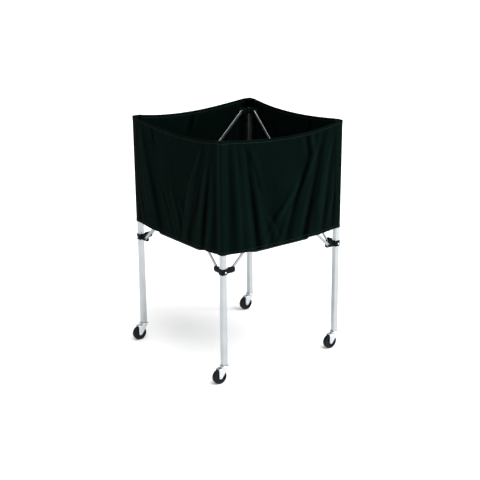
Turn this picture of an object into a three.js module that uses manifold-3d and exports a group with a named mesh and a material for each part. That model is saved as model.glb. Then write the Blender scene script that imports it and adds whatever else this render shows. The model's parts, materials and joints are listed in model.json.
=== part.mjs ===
// Folding ball cart: a square fabric hopper hung on four tube legs, with a pair of crossed bars on each
// side, sliding corner brackets and four swivel casters. Millimetres, +Z up, standing on Z = 0.
import * as THREE from "three";
import { mergeVertices } from "three/addons/utils/BufferGeometryUtils.js";
import Module from "manifold-3d";

const wasm = await Module();
wasm.setup();

// Driving dimensions
const LEG_SPACING = 580; // between leg centres, the same from side to side and from front to back
const LEG_LENGTH = 900;

// Clearances
const SEAT_GAP = 0.3; // between pieces that sit on each other
const PIVOT_GAP = 0.3; // round a pin, and beside a bar on its pin
const SLIDE_GAP = 0.4; // between a leg and what slides on it
const CUT_OVERRUN = 1; // how far a cutting tool runs past what it cuts

// Leg tube and its bottom plug
const LEG_SIDE = 22;
const LEG_WALL = 1.5;
const LEG_CORNER_RADIUS = 3;
const PLUG_LENGTH = 24;

// Corner brackets: a collar round the leg with one tongue towards each neighbouring leg
const COLLAR_WALL = 1.6;
const BRACKET_HEIGHT = 24;
const TONGUE_REACH = 46; // from the leg's centre to the bar's pivot
const TONGUE_THICKNESS = 7;
const TONGUE_END_RADIUS = 11;
const TONGUE_DIP = 3; // how far the tongue's top edge dips beside the collar
const TONGUE_DIP_LENGTH = 8;
const UPPER_PIVOT_DROP = 46; // from the top of a leg down to its fixed bracket's pivots
const LOWER_PIVOT_HEIGHT = 389; // from the bottom of a leg up to its sliding bracket's pivots

// Crossed bars and their pins
const BAR_WIDTH = 12;
const BAR_THICKNESS = 5;
const BAR_EDGE = 1;
const PIN_RADIUS = 2.5;
const PIN_HEAD_RADIUS = 4.5;
const PIN_HEAD_HEIGHT = 1.4;
const SPACER_RADIUS = 5;

// Pull knob of each sliding bracket
const KNOB_SHANK_RADIUS = 2.2;
const KNOB_HEAD_RADIUS = 4;
const KNOB_HEAD_HEIGHT = 3.5;
const KNOB_ROUNDING = 1;
const KNOB_BOSS_RADIUS = 6;
const KNOB_BOSS_HEIGHT = 2.5;

// Casters
const CASTER_HEADING = THREE.MathUtils.degToRad(-3); // turn of each caster about its stem
const CASTER_TRAIL = 23; // from the stem's centre line back to the axle
const WHEEL_RADIUS = 30;
const WHEEL_WIDTH = 20;
const TREAD_WIDTH = 12;
const SHOULDER_DROP = 2.5;
const TYRE_DEPTH = 8;
const HUB_RECESS = 2.5;
const HUB_BOSS_RADIUS = 8;
const AXLE_RADIUS = 3.5;
const AXLE_HEAD_RADIUS = 5.5;
const AXLE_HEAD_HEIGHT = 2.5;
const YOKE_PLATE = 2;
const YOKE_PAN_RADIUS = 16.5; // the round top under the bell
const YOKE_FRONT = 7; // how far the cheeks run forward of the stem
const YOKE_FRONT_DEPTH = 7; // how far a cheek's front edge runs straight down
const YOKE_SHOULDER = 13; // from the stem back to where the yoke's top slopes down
const YOKE_DROP = 3; // fall of that slope over the wheel
const YOKE_END_RADIUS = 8;
const YOKE_WHEEL_GAP = 1.2;
const WHEEL_TOP_GAP = 4; // from the wheel up to the yoke's plate
const BELL_RADIUS = 18.5;
const BELL_HEIGHT = 7;
const BELL_PLATE = 2.5;
const BELL_WALL = 1.6;
const BELL_ROUNDING = 1.5;
const BELL_GAP = 0.7; // from the bell down to the yoke's plate, and round the raceway in it
const STEM_RADIUS = 4.5;
const STEM_LENGTH = 20;
const KINGPIN_RADIUS = 3;
const KINGPIN_HEAD_RADIUS = 5.5;
const KINGPIN_HEAD_HEIGHT = 2;

// Fabric hopper
const CLOTH = 1.6;
const HEM_GAP = 57; // from a sliding bracket's top up to the walls' lower hem at a corner
const RIM_RISE = 5; // from the top of a leg up to the rim at a corner
const RIM_SAG = 18;
const HEM_SAG = 6;
const FLAT_STRIP = 34; // cloth beside a corner that lies flat round the leg
const POCKET_GAP = 4; // from a fixed bracket up to the mouth of the pocket above it
const FLOOR_BAR_GAP = 12; // from a bar to the cut corner of the floor panel
const FLOOR_BELLY = 26;
const FLOOR_ROLL = 24; // width of the band in which the floor panel turns down from the hem
const FLOOR_ROLL_DEPTH = 18;

// Counts
const WHEEL_FACETS = 20;
const ROUND_STEPS = 14;
const PIN_STEPS = 8;
const CORNER_STEPS = 2;
const ROLL_STEPS = 4;

// Sizes that follow
const HALF_SPACING = LEG_SPACING / 2;
const YOKE_TOP = 2 * WHEEL_RADIUS + WHEEL_TOP_GAP + YOKE_PLATE; // top face of the yoke's plate
const BELL_TOP = YOKE_TOP + BELL_GAP + BELL_HEIGHT;
const CASTER_HEIGHT = BELL_TOP + SEAT_GAP; // from the floor to the bottom of a leg
const YOKE_HALF = WHEEL_WIDTH / 2 + YOKE_WHEEL_GAP + YOKE_PLATE; // half the yoke's outside width
const LEG_TOP = CASTER_HEIGHT + LEG_LENGTH;
const UPPER_PIVOT_Z = LEG_TOP - UPPER_PIVOT_DROP;
const LOWER_PIVOT_Z = CASTER_HEIGHT + LOWER_PIVOT_HEIGHT;
const COLLAR_INNER_HALF = LEG_SIDE / 2 + SLIDE_GAP;
const COLLAR_OUTER_HALF = COLLAR_INNER_HALF + COLLAR_WALL;
const PIVOT_RUN = LEG_SPACING - 2 * TONGUE_REACH;
const PIVOT_RISE = UPPER_PIVOT_Z - LOWER_PIVOT_Z;
const BAR_PIVOT_LENGTH = Math.hypot(PIVOT_RUN, PIVOT_RISE);
const BAR_SLOPE = Math.atan2(PIVOT_RISE, PIVOT_RUN);
const BAR_NEAR = TONGUE_THICKNESS / 2 + PIVOT_GAP; // from a side's middle plane to a bar
const BAR_FAR = BAR_NEAR + BAR_THICKNESS;
const WALL_INNER = HALF_SPACING + COLLAR_OUTER_HALF + SLIDE_GAP;
const WALL_OUTER = WALL_INNER + CLOTH;
const RIM_Z = LEG_TOP + RIM_RISE;
const HEM_Z = LOWER_PIVOT_Z + BRACKET_HEIGHT / 2 + HEM_GAP;
const POCKET_DEPTH = UPPER_PIVOT_DROP - BRACKET_HEIGHT / 2 - POCKET_GAP;
const FLOOR_EDGE_Z = HEM_Z - HEM_SAG;

// The four corners: the signs of X and Y, and the way that the sliding bracket's knob faces.
const CORNERS = [
  { name: "front_left", sx: -1, sy: -1, knob: new THREE.Vector3(0, -1, 0) },
  { name: "front_right", sx: 1, sy: -1, knob: new THREE.Vector3(0, -1, 0) },
  { name: "rear_left", sx: -1, sy: 1, knob: new THREE.Vector3(-1, 0, 0) },
  { name: "rear_right", sx: 1, sy: 1, knob: new THREE.Vector3(1, 0, 0) },
];

// The four sides, each drawn in its own frame with X along the side and -Y outwards. The outer bar's
// upper end is at highEnd times X, at the leg that comes first in the order of folding.
const SIDES = [
  { name: "front", turn: 0, highEnd: -1 },
  { name: "right", turn: Math.PI / 2, highEnd: -1 },
  { name: "rear", turn: Math.PI, highEnd: 1 },
  { name: "left", turn: -Math.PI / 2, highEnd: 1 },
];

// The main folds of each wall, which the pull of its pockets draws from the rim's ends towards the hem.
// Each line gives its place at the rim and at the hem, from -1 to 1 between the flat strips and seen from
// outside, and how far the cloth stands out on it. Ridges and hollows take turns.
const FOLD_LINES = {
  front: [
    [-0.8, -0.62, 7],
    [-0.71, -0.48, 0.5],
    [-0.62, -0.34, 5],
    [-0.2, -0.2, 1.5],
    [0.38, -0.05, 5.5],
    [0.58, 0.1, 1],
    [0.7, 0.25, 6.5],
    [0.8, 0.4, 1],
    [0.88, 0.55, 8],
  ],
  right: [
    [-0.87, -0.62, 7.5],
    [-0.8, -0.48, 0.5],
    [-0.68, -0.28, 5],
    [-0.3, -0.1, 1],
    [0.05, 0.03, 3.5],
    [0.45, 0.2, 1],
    [0.7, 0.36, 5.5],
    [0.8, 0.5, 0.5],
    [0.88, 0.64, 7],
  ],
  rear: [
    [-0.86, -0.58, 7],
    [-0.8, -0.44, 0.5],
    [-0.7, -0.22, 5],
    [-0.3, -0.1, 1.5],
    [0.1, 0.02, 3.5],
    [0.5, 0.16, 1],
    [0.72, 0.3, 5],
    [0.8, 0.46, 0.5],
    [0.87, 0.6, 7],
  ],
  left: [
    [-0.93, -0.52, 8],
    [-0.85, -0.34, 1],
    [-0.25, -0.02, 3],
    [0.3, 0.1, 1],
    [0.72, 0.2, 5],
    [0.79, 0.36, 0.5],
    [0.86, 0.52, 6.5],
    [0.9, 0.66, 1],
    [0.95, 0.78, 4],
  ],
};

// Heights between hem (0) and rim (1) at which a fold is drawn, each with its share of the fold's depth.
const FOLD_LEVELS = [
  [0, 0.75],
  [0.3, 1],
  [0.65, 0.6],
  [1, 0],
];

const MATERIALS = {
  tube: new THREE.MeshStandardMaterial({ color: 0xc2c6c8, roughness: 0.35, metalness: 0.9 }),
  bar: new THREE.MeshStandardMaterial({ color: 0xb4b9bb, roughness: 0.4, metalness: 0.9 }),
  plastic: new THREE.MeshStandardMaterial({ color: 0x141818, roughness: 0.5, metalness: 0 }),
  zinc: new THREE.MeshStandardMaterial({ color: 0xd4d6d8, roughness: 0.25, metalness: 1 }),
  tyre: new THREE.MeshStandardMaterial({ color: 0x121414, roughness: 0.6, metalness: 0 }),
  cloth: new THREE.MeshStandardMaterial({ color: 0x101818, roughness: 0.8, metalness: 0 }),
};

// Solids: a closed geometry as a manifold solid, and back.
function solid(geometry) {
  const bare = new THREE.BufferGeometry().setAttribute("position", geometry.getAttribute("position"));
  bare.setIndex(geometry.index);
  const merged = mergeVertices(bare);
  return new wasm.Manifold(
    new wasm.Mesh({
      numProp: 3,
      vertProperties: new Float32Array(merged.attributes.position.array),
      triVerts: new Uint32Array(merged.index.array),
    }),
  );
}

function geometryOf(manifold) {
  const mesh = manifold.getMesh();
  const geometry = new THREE.BufferGeometry();
  geometry.setAttribute("position", new THREE.BufferAttribute(mesh.vertProperties, 3));
  geometry.setIndex(new THREE.BufferAttribute(mesh.triVerts, 1));
  const flat = geometry.toNonIndexed();
  flat.computeVertexNormals();
  return flat;
}

function shaped(joined, cut = []) {
  let body = joined.map(solid).reduce((all, next) => all.add(next));
  for (const tool of cut.map(solid)) body = body.subtract(tool);
  return geometryOf(body);
}

// Outlines and basic forms
function roundedSquare(half, radius) {
  return roundedRectangle(-half, half, -half, half, radius);
}

function roundedRectangle(x0, x1, y0, y1, radius) {
  const shape = new THREE.Shape();
  shape.absarc(x1 - radius, y1 - radius, radius, 0, Math.PI / 2);
  shape.absarc(x0 + radius, y1 - radius, radius, Math.PI / 2, Math.PI);
  shape.absarc(x0 + radius, y0 + radius, radius, Math.PI, 1.5 * Math.PI);
  shape.absarc(x1 - radius, y0 + radius, radius, 1.5 * Math.PI, 2 * Math.PI);
  return shape;
}

function extruded(shape, depth, curveSegments = CORNER_STEPS) {
  return new THREE.ExtrudeGeometry(shape, { depth, bevelEnabled: false, curveSegments });
}

// A plate drawn in X and Z, from y0 to y1.
function upright(shape, y0, y1, curveSegments) {
  return extruded(shape, y1 - y0, curveSegments).rotateX(Math.PI / 2).translate(0, y1, 0);
}

// A turned piece along Z. The profile holds pairs of radius and height, closed on the axis or on itself.
function turned(profile, steps = ROUND_STEPS) {
  const points = profile.map(([r, z]) => new THREE.Vector2(r, z));
  return new THREE.LatheGeometry(points, steps).rotateX(Math.PI / 2);
}

// A round rod along Z between two heights.
function rod(radius, z0, z1, steps = PIN_STEPS) {
  return turned([[0, z0], [radius, z0], [radius, z1], [0, z1]], steps);
}

// Turns what runs along +Z so that it runs along +Y.
function alongY(geometry) {
  return geometry.rotateX(-Math.PI / 2);
}

function named(name, geometry, material) {
  const mesh = new THREE.Mesh(geometry, material);
  mesh.name = name;
  return mesh;
}

// Leg: a square tube with rounded corners, open at both ends.
function legTube() {
  const section = roundedSquare(LEG_SIDE / 2, LEG_CORNER_RADIUS);
  section.holes.push(roundedSquare(LEG_SIDE / 2 - LEG_WALL, LEG_CORNER_RADIUS - LEG_WALL));
  return extruded(section, LEG_LENGTH);
}

// Plug: fills the bottom of the tube and holds the caster's stem.
function legPlug() {
  const half = LEG_SIDE / 2 - LEG_WALL - SEAT_GAP;
  const block = extruded(roundedSquare(half, LEG_CORNER_RADIUS - LEG_WALL), PLUG_LENGTH);
  const bore = rod(STEM_RADIUS + SEAT_GAP, -CUT_OVERRUN, PLUG_LENGTH + CUT_OVERRUN, ROUND_STEPS);
  return shaped([block], [bore]);
}

// One tongue of a bracket along +X, with its pivot pin on the side that barSide gives (1 is +Y).
function tongue(barSide) {
  const start = COLLAR_INNER_HALF + COLLAR_WALL / 2;
  const low = -BRACKET_HEIGHT / 2;
  const dipTop = BRACKET_HEIGHT / 2 - TONGUE_DIP;
  const dipEnd = COLLAR_OUTER_HALF + TONGUE_DIP_LENGTH;
  const end = TONGUE_REACH + TONGUE_END_RADIUS;
  const outline = new THREE.Shape();
  outline.moveTo(start, low);
  outline.lineTo(TONGUE_REACH, low);
  outline.quadraticCurveTo(end, low, end, 0);
  outline.quadraticCurveTo(end, -low, TONGUE_REACH, -low);
  outline.lineTo(dipEnd + TONGUE_DIP, -low);
  outline.lineTo(dipEnd, dipTop);
  outline.lineTo(start, dipTop);
  const half = TONGUE_THICKNESS / 2;
  const headStart = BAR_FAR + PIVOT_GAP;
  const pin = alongY(rod(PIN_RADIUS, 0, headStart + PIN_HEAD_HEIGHT / 2));
  const head = alongY(rod(PIN_HEAD_RADIUS, headStart, headStart + PIN_HEAD_HEIGHT));
  const turn = barSide > 0 ? 0 : Math.PI;
  const fittings = [pin, head].map((g) => g.rotateZ(turn).translate(TONGUE_REACH, 0, 0));
  return [upright(outline, -half, half, 3), ...fittings];
}

// Bracket: collar and two tongues. outerX and outerY say on which side of each tongue its bar runs.
function bracket(corner, outerX, outerY, knobBore) {
  const collar = roundedSquare(COLLAR_OUTER_HALF, LEG_CORNER_RADIUS);
  const collarBore = roundedSquare(COLLAR_INNER_HALF, LEG_CORNER_RADIUS);
  const ring = extruded(collar, BRACKET_HEIGHT).translate(0, 0, -BRACKET_HEIGHT / 2);
  const cutHeight = BRACKET_HEIGHT + 2 * CUT_OVERRUN;
  const bore = extruded(collarBore, cutHeight).translate(0, 0, -cutHeight / 2);
  const { sx, sy } = corner;
  const alongSideX = tongue(-sx * sy * outerX).map((g) => g.rotateZ(sx < 0 ? 0 : Math.PI));
  const alongSideY = tongue(sx * sy * outerY).map((g) => g.rotateZ((-sy * Math.PI) / 2));
  const joined = [ring, ...alongSideX, ...alongSideY];
  const cut = [bore];
  if (knobBore) {
    const face = Math.atan2(corner.knob.y, corner.knob.x);
    const faced = (g) => g.rotateY(Math.PI / 2).rotateZ(face);
    joined.push(faced(rod(KNOB_BOSS_RADIUS, COLLAR_INNER_HALF + COLLAR_WALL / 2, knobSeat())));
    cut.push(faced(rod(KNOB_SHANK_RADIUS + PIVOT_GAP, 0, knobSeat() + CUT_OVERRUN)));
  }
  return shaped(joined, cut);
}

// How far the knob's boss stands from the leg's centre.
function knobSeat() {
  return COLLAR_OUTER_HALF + KNOB_BOSS_HEIGHT;
}

// Knob: a shank that ends level with the collar's inner face, and a round head on the boss.
function pullKnob(corner) {
  const seat = knobSeat() + SEAT_GAP;
  const top = seat + KNOB_HEAD_HEIGHT;
  const profile = [
    [0, COLLAR_INNER_HALF],
    [KNOB_SHANK_RADIUS, COLLAR_INNER_HALF],
    [KNOB_SHANK_RADIUS, seat],
    [KNOB_HEAD_RADIUS, seat],
    [KNOB_HEAD_RADIUS, top - KNOB_ROUNDING],
    [KNOB_HEAD_RADIUS - KNOB_ROUNDING, top],
    [0, top],
  ];
  return turned(profile, PIN_STEPS).rotateY(Math.PI / 2).rotateZ(Math.atan2(corner.knob.y, corner.knob.x));
}

// Bar: a flat oval bar with round ends and three pin holes, lying along X, its thickness along Y.
function crossBar() {
  const half = BAR_PIVOT_LENGTH / 2;
  const radius = BAR_WIDTH / 2 - BAR_EDGE;
  const outline = new THREE.Shape();
  outline.absarc(half, 0, radius, -Math.PI / 2, Math.PI / 2);
  outline.absarc(-half, 0, radius, Math.PI / 2, 1.5 * Math.PI);
  const blank = new THREE.ExtrudeGeometry(outline, {
    depth: BAR_THICKNESS - 2 * BAR_EDGE,
    bevelThickness: BAR_EDGE,
    bevelSize: BAR_EDGE,
    bevelSegments: 1,
    curveSegments: 4,
  }).translate(0, 0, BAR_EDGE - BAR_THICKNESS / 2);
  const depth = BAR_THICKNESS / 2 + CUT_OVERRUN;
  const holes = [-half, 0, half].map((x) => rod(PIN_RADIUS + PIVOT_GAP, -depth, depth).translate(x, 0, 0));
  return shaped([blank], holes).rotateX(Math.PI / 2);
}

// Rivet where two bars cross, with the spacer between them, along Y.
function crossRivet() {
  const headStart = BAR_FAR + PIVOT_GAP;
  const headEnd = headStart + PIN_HEAD_HEIGHT;
  const spacerHalf = BAR_NEAR - PIVOT_GAP;
  const profile = [
    [0, -headEnd],
    [PIN_HEAD_RADIUS, -headEnd],
    [PIN_HEAD_RADIUS, -headStart],
    [PIN_RADIUS, -headStart],
    [PIN_RADIUS, -spacerHalf],
    [SPACER_RADIUS, -spacerHalf],
    [SPACER_RADIUS, spacerHalf],
    [PIN_RADIUS, spacerHalf],
    [PIN_RADIUS, headStart],
    [PIN_HEAD_RADIUS, headStart],
    [PIN_HEAD_RADIUS, headEnd],
    [0, headEnd],
  ];
  return alongY(turned(profile, PIN_STEPS));
}

// One side: two bars that cross, and their rivet.
function side({ name, turn, highEnd }) {
  const middle = (BAR_NEAR + BAR_FAR) / 2;
  const outer = named(`${name}_outer_bar`, crossBar(), MATERIALS.bar);
  outer.position.y = -middle;
  outer.rotation.y = -highEnd * BAR_SLOPE;
  const inner = named(`${name}_inner_bar`, crossBar(), MATERIALS.bar);
  inner.position.y = middle;
  inner.rotation.y = highEnd * BAR_SLOPE;
  const pair = new THREE.Group();
  pair.add(outer, inner, named(`${name}_cross_rivet`, crossRivet(), MATERIALS.zinc));
  pair.position.set(0, -HALF_SPACING, (UPPER_PIVOT_Z + LOWER_PIVOT_Z) / 2);
  const turnedPair = new THREE.Group();
  turnedPair.add(pair);
  turnedPair.rotation.z = turn;
  return turnedPair;
}

// Caster head: the stem, the bell that covers the raceway and the riveted kingpin that carries the yoke.
function casterHead() {
  const rim = BELL_TOP - BELL_HEIGHT;
  const pinEnd = YOKE_TOP - YOKE_PLATE - SEAT_GAP;
  return turned([
    [0, pinEnd - KINGPIN_HEAD_HEIGHT],
    [KINGPIN_HEAD_RADIUS, pinEnd - KINGPIN_HEAD_HEIGHT],
    [KINGPIN_HEAD_RADIUS, pinEnd],
    [KINGPIN_RADIUS, pinEnd],
    [KINGPIN_RADIUS, BELL_TOP - BELL_PLATE],
    [BELL_RADIUS - BELL_WALL, BELL_TOP - BELL_PLATE],
    [BELL_RADIUS - BELL_WALL, rim],
    [BELL_RADIUS, rim],
    [BELL_RADIUS, BELL_TOP - BELL_ROUNDING],
    [BELL_RADIUS - BELL_ROUNDING, BELL_TOP],
    [STEM_RADIUS, BELL_TOP],
    [STEM_RADIUS, BELL_TOP + STEM_LENGTH],
    [0, BELL_TOP + STEM_LENGTH],
  ]);
}

// Yoke: a round pan under the bell whose top slopes down behind, and two cheeks that taper to the axle.
function casterYoke() {
  const back = -CASTER_TRAIL - YOKE_END_RADIUS;
  const under = YOKE_TOP - YOKE_PLATE;
  const strip = new THREE.Shape();
  strip.moveTo(YOKE_FRONT, YOKE_TOP);
  strip.lineTo(-YOKE_SHOULDER, YOKE_TOP);
  strip.lineTo(back, YOKE_TOP - YOKE_DROP);
  strip.lineTo(back, under - YOKE_DROP);
  strip.lineTo(-YOKE_SHOULDER, under);
  strip.lineTo(YOKE_FRONT, under);
  // The cheek's front edge slants down to touch its round end.
  const rise = YOKE_TOP - YOKE_FRONT_DEPTH - WHEEL_RADIUS;
  const run = YOKE_FRONT + CASTER_TRAIL;
  const touch = Math.atan2(rise, run) - Math.acos(YOKE_END_RADIUS / Math.hypot(rise, run));
  const cheek = new THREE.Shape();
  cheek.moveTo(YOKE_FRONT, YOKE_TOP - YOKE_PLATE / 2);
  cheek.lineTo(-YOKE_SHOULDER, YOKE_TOP - YOKE_PLATE / 2);
  cheek.lineTo(back, YOKE_TOP - YOKE_DROP - YOKE_PLATE / 2);
  cheek.absarc(-CASTER_TRAIL, WHEEL_RADIUS, YOKE_END_RADIUS, -Math.PI, touch);
  cheek.lineTo(YOKE_FRONT, YOKE_TOP - YOKE_FRONT_DEPTH);
  const top = upright(strip, -YOKE_HALF, YOKE_HALF);
  const nearCheek = upright(cheek, -YOKE_HALF, YOKE_PLATE - YOKE_HALF, PIN_STEPS);
  const farCheek = upright(cheek, YOKE_HALF - YOKE_PLATE, YOKE_HALF, PIN_STEPS);
  const pan = rod(YOKE_PAN_RADIUS, under, YOKE_TOP, ROUND_STEPS);
  const raceTop = BELL_TOP - BELL_PLATE - SEAT_GAP;
  const race = rod(BELL_RADIUS - BELL_WALL - BELL_GAP, under, raceTop);
  const kingpinHole = rod(KINGPIN_RADIUS + SEAT_GAP, under - CUT_OVERRUN, CASTER_HEIGHT);
  const axleHole = alongY(rod(AXLE_RADIUS + SEAT_GAP, -YOKE_HALF - CUT_OVERRUN, YOKE_HALF + CUT_OVERRUN));
  axleHole.translate(-CASTER_TRAIL, 0, WHEEL_RADIUS);
  return shaped([top, nearCheek, farCheek, pan, race], [kingpinHole, axleHole]);
}

// Wheel: a tyre with rounded shoulders round a dished hub, its axis along Y. Its flats, one of them
// straight down, lie at the wheel's radius.
function casterWheel() {
  const toFlat = 1 / Math.cos(Math.PI / WHEEL_FACETS);
  const half = WHEEL_WIDTH / 2;
  const rim = WHEEL_RADIUS - TYRE_DEPTH;
  const edge = [
    [AXLE_RADIUS + PIVOT_GAP, half],
    [HUB_BOSS_RADIUS, half],
    [HUB_BOSS_RADIUS, half - HUB_RECESS],
    [rim, half - HUB_RECESS],
    [rim, half],
    [WHEEL_RADIUS - SHOULDER_DROP, half - SHOULDER_DROP],
    [WHEEL_RADIUS, TREAD_WIDTH / 2],
  ];
  const mirrored = edge.map(([r, y]) => [r, -y]).reverse();
  const loop = [...edge, ...mirrored, edge[0]].reverse();
  const profile = loop.map(([r, y]) => new THREE.Vector2(r * toFlat, y));
  return new THREE.LatheGeometry(profile, WHEEL_FACETS).rotateY(Math.PI / WHEEL_FACETS);
}

// Axle: a pin through yoke and wheel with a round head at each end, along Y.
function casterAxle() {
  const seat = YOKE_HALF + SEAT_GAP;
  const end = seat + AXLE_HEAD_HEIGHT;
  const profile = [
    [0, -end],
    [AXLE_HEAD_RADIUS, -end],
    [AXLE_HEAD_RADIUS, -seat],
    [AXLE_RADIUS, -seat],
    [AXLE_RADIUS, seat],
    [AXLE_HEAD_RADIUS, seat],
    [AXLE_HEAD_RADIUS, end],
    [0, end],
  ];
  return alongY(turned(profile, PIN_STEPS));
}

// One caster in its own frame: the stem's centre line is Z, and the wheel trails towards -X.
function caster(corner) {
  const yoke = named(`${corner.name}_caster_yoke`, casterYoke(), MATERIALS.zinc);
  const wheel = named(`${corner.name}_caster_wheel`, casterWheel(), MATERIALS.tyre);
  const axle = named(`${corner.name}_caster_axle`, casterAxle(), MATERIALS.zinc);
  for (const piece of [wheel, axle]) piece.position.set(-CASTER_TRAIL, 0, WHEEL_RADIUS);
  const swivel = new THREE.Group();
  swivel.add(yoke, wheel, axle);
  swivel.rotation.z = CASTER_HEADING;
  const whole = new THREE.Group();
  whole.add(swivel, named(`${corner.name}_caster_head`, casterHead(), MATERIALS.zinc));
  return whole;
}

// Pocket: the cloth cup at a corner of the hopper that slips over the top of a leg.
function cornerPocket() {
  const innerHalf = LEG_SIDE / 2 + SEAT_GAP;
  const inside = POCKET_DEPTH + SEAT_GAP;
  const cup = extruded(roundedSquare(innerHalf + CLOTH, LEG_CORNER_RADIUS), inside + CLOTH);
  const hollow = extruded(roundedSquare(innerHalf, LEG_CORNER_RADIUS), inside + CUT_OVERRUN);
  return shaped([cup], [hollow.translate(0, 0, -CUT_OVERRUN)]).translate(0, 0, -POCKET_DEPTH);
}

// Everything at one corner, in a frame whose Z is the leg's centre line.
function corner(place) {
  const { name, sx, sy } = place;
  const leg = named(`${name}_leg`, legTube(), MATERIALS.tube);
  leg.position.z = CASTER_HEIGHT;
  const plug = named(`${name}_leg_plug`, legPlug(), MATERIALS.plastic);
  plug.position.z = CASTER_HEIGHT;
  // A leg's upper pivots carry the outer bars where it comes first in the order of folding.
  const upperX = sx < 0 ? 1 : -1;
  const upperY = sy < 0 ? 1 : -1;
  const fixed = named(`${name}_top_bracket`, bracket(place, upperX, upperY, false), MATERIALS.plastic);
  fixed.position.z = UPPER_PIVOT_Z;
  const slider = named(`${name}_slider`, bracket(place, -upperX, -upperY, true), MATERIALS.plastic);
  slider.position.z = LOWER_PIVOT_Z;
  const knob = named(`${name}_lock_knob`, pullKnob(place), MATERIALS.zinc);
  knob.position.z = LOWER_PIVOT_Z;
  const pocket = named(`${name}_bag_pocket`, cornerPocket(), MATERIALS.cloth);
  pocket.position.z = LEG_TOP;
  const group = new THREE.Group();
  group.add(leg, plug, fixed, slider, knob, pocket, caster(place));
  group.position.set(sx * HALF_SPACING, sy * HALF_SPACING, 0);
  return group;
}

// Wall of the hopper, in its side's frame: a cloth panel with folds, whose rim and hem sag between the
// corners.
function bagWall({ name, turn }) {
  const coversCorners = name === "front" || name === "rear";
  const reach = coversCorners ? WALL_OUTER : WALL_INNER - SEAT_GAP;
  const folded = WALL_OUTER - FLAT_STRIP;
  const lines = FOLD_LINES[name].map(([rim, hem, out]) => [rim * folded, hem * folded, out]);
  const ends = [-reach, -folded, folded, reach].map((x) => [x, x, 0]);
  const points = [];
  for (const [rimX, hemX, out] of [...ends.slice(0, 2), ...lines, ...ends.slice(2)]) {
    const outside = FOLD_LEVELS.map(([up, share]) => {
      const x = hemX + (rimX - hemX) * up;
      const sag = 1 - (x / reach) ** 2;
      const hemZ = HEM_Z - HEM_SAG * sag;
      const rimZ = RIM_Z - RIM_SAG * sag;
      return [x, -WALL_OUTER - out * share, hemZ + (rimZ - hemZ) * up];
    });
    const inside = outside.map(([x, y, z]) => [x, y + CLOTH, z]).reverse();
    for (const point of [...outside, ...inside]) points.push(...point);
  }
  const count = 2 * FOLD_LEVELS.length;
  const caps = [-reach, reach].map((x) => [x, -(WALL_INNER + WALL_OUTER) / 2, (HEM_Z + RIM_Z) / 2]);
  const skin = closedLoft(points, points.length / 3 / count, count, ...caps);
  const wall = named(`bag_${name}_wall`, skin, MATERIALS.cloth);
  wall.rotation.z = turn;
  return wall;
}

// Floor of the hopper: an eight-sided cloth panel that turns down from the hem and bellies under the
// load, with its corners cut off where the legs and bars pass.
function bagFloor() {
  const reach = WALL_INNER - SEAT_GAP;
  // A bar's underside passes the floor's edge this far from its leg, on a line this far inside the panel.
  const barUnder = FLOOR_EDGE_Z - LOWER_PIVOT_Z + BAR_WIDTH / 2 / Math.cos(BAR_SLOPE);
  const barPass = TONGUE_REACH + barUnder / Math.tan(BAR_SLOPE);
  const barInset = reach - (HALF_SPACING - BAR_FAR - PIN_HEAD_HEIGHT);
  const cut = barPass + barInset + FLOOR_BAR_GAP + reach - HALF_SPACING;
  const top = [];
  for (let step = 0; step <= ROLL_STEPS; step++) {
    const turn = ((step / ROLL_STEPS) * Math.PI) / 2;
    const inset = FLOOR_ROLL * (1 - Math.cos(turn));
    top.push({ inset, z: FLOOR_EDGE_Z - FLOOR_ROLL_DEPTH * Math.sin(turn) });
  }
  top.push({ inset: reach / 2, z: FLOOR_EDGE_Z - FLOOR_ROLL_DEPTH - (FLOOR_BELLY - FLOOR_ROLL_DEPTH) / 2 });
  const under = top.map(({ inset, z }) => ({ inset, z: z - CLOTH }));
  const rings = [...top.toReversed(), ...under];
  const points = [];
  for (const { inset, z } of rings) {
    const half = reach - inset;
    const flat = Math.max(half - cut + inset * (2 - Math.SQRT2), 0);
    for (const [x, y] of octagon(half, flat)) points.push(x, y, z);
  }
  const middleZ = FLOOR_EDGE_Z - FLOOR_BELLY;
  return closedLoft(points, rings.length, 8, [0, 0, middleZ], [0, 0, middleZ - CLOTH]);
}

// Corners of a square of the given half width with its corners cut, each side's flat half being given.
function octagon(half, flat) {
  return [
    [half, -flat],
    [half, flat],
    [flat, half],
    [-flat, half],
    [-half, flat],
    [-half, -flat],
    [-flat, -half],
    [flat, -half],
  ];
}

// A closed skin over rings of points, each ring running the same way, capped to a point at each end.
function closedLoft(points, rings, count, first, last) {
  const index = [];
  const firstIndex = points.length / 3;
  const positions = [...points, ...first, ...last];
  for (let i = 0; i < count; i++) {
    const next = (i + 1) % count;
    index.push(firstIndex, i, next);
    for (let ring = 0; ring < rings - 1; ring++) {
      const a = ring * count;
      const b = a + count;
      index.push(a + i, b + i, b + next, a + i, b + next, a + next);
    }
    const end = (rings - 1) * count;
    index.push(firstIndex + 1, end + next, end + i);
  }
  const geometry = new THREE.BufferGeometry();
  geometry.setAttribute("position", new THREE.Float32BufferAttribute(positions, 3));
  geometry.setIndex(index);
  return geometry;
}

// The cart, moved so that its origin is under the middle of its bounding box.
const cart = new THREE.Group();
for (const place of CORNERS) cart.add(corner(place));
for (const place of SIDES) cart.add(side(place), bagWall(place));
cart.add(named("bag_floor", bagFloor(), MATERIALS.cloth));
const box = new THREE.Box3().setFromObject(cart, true);
const middle = box.getCenter(new THREE.Vector3());
for (const piece of cart.children) piece.position.sub(new THREE.Vector3(middle.x, middle.y, box.min.z));

export default cart;
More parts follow.
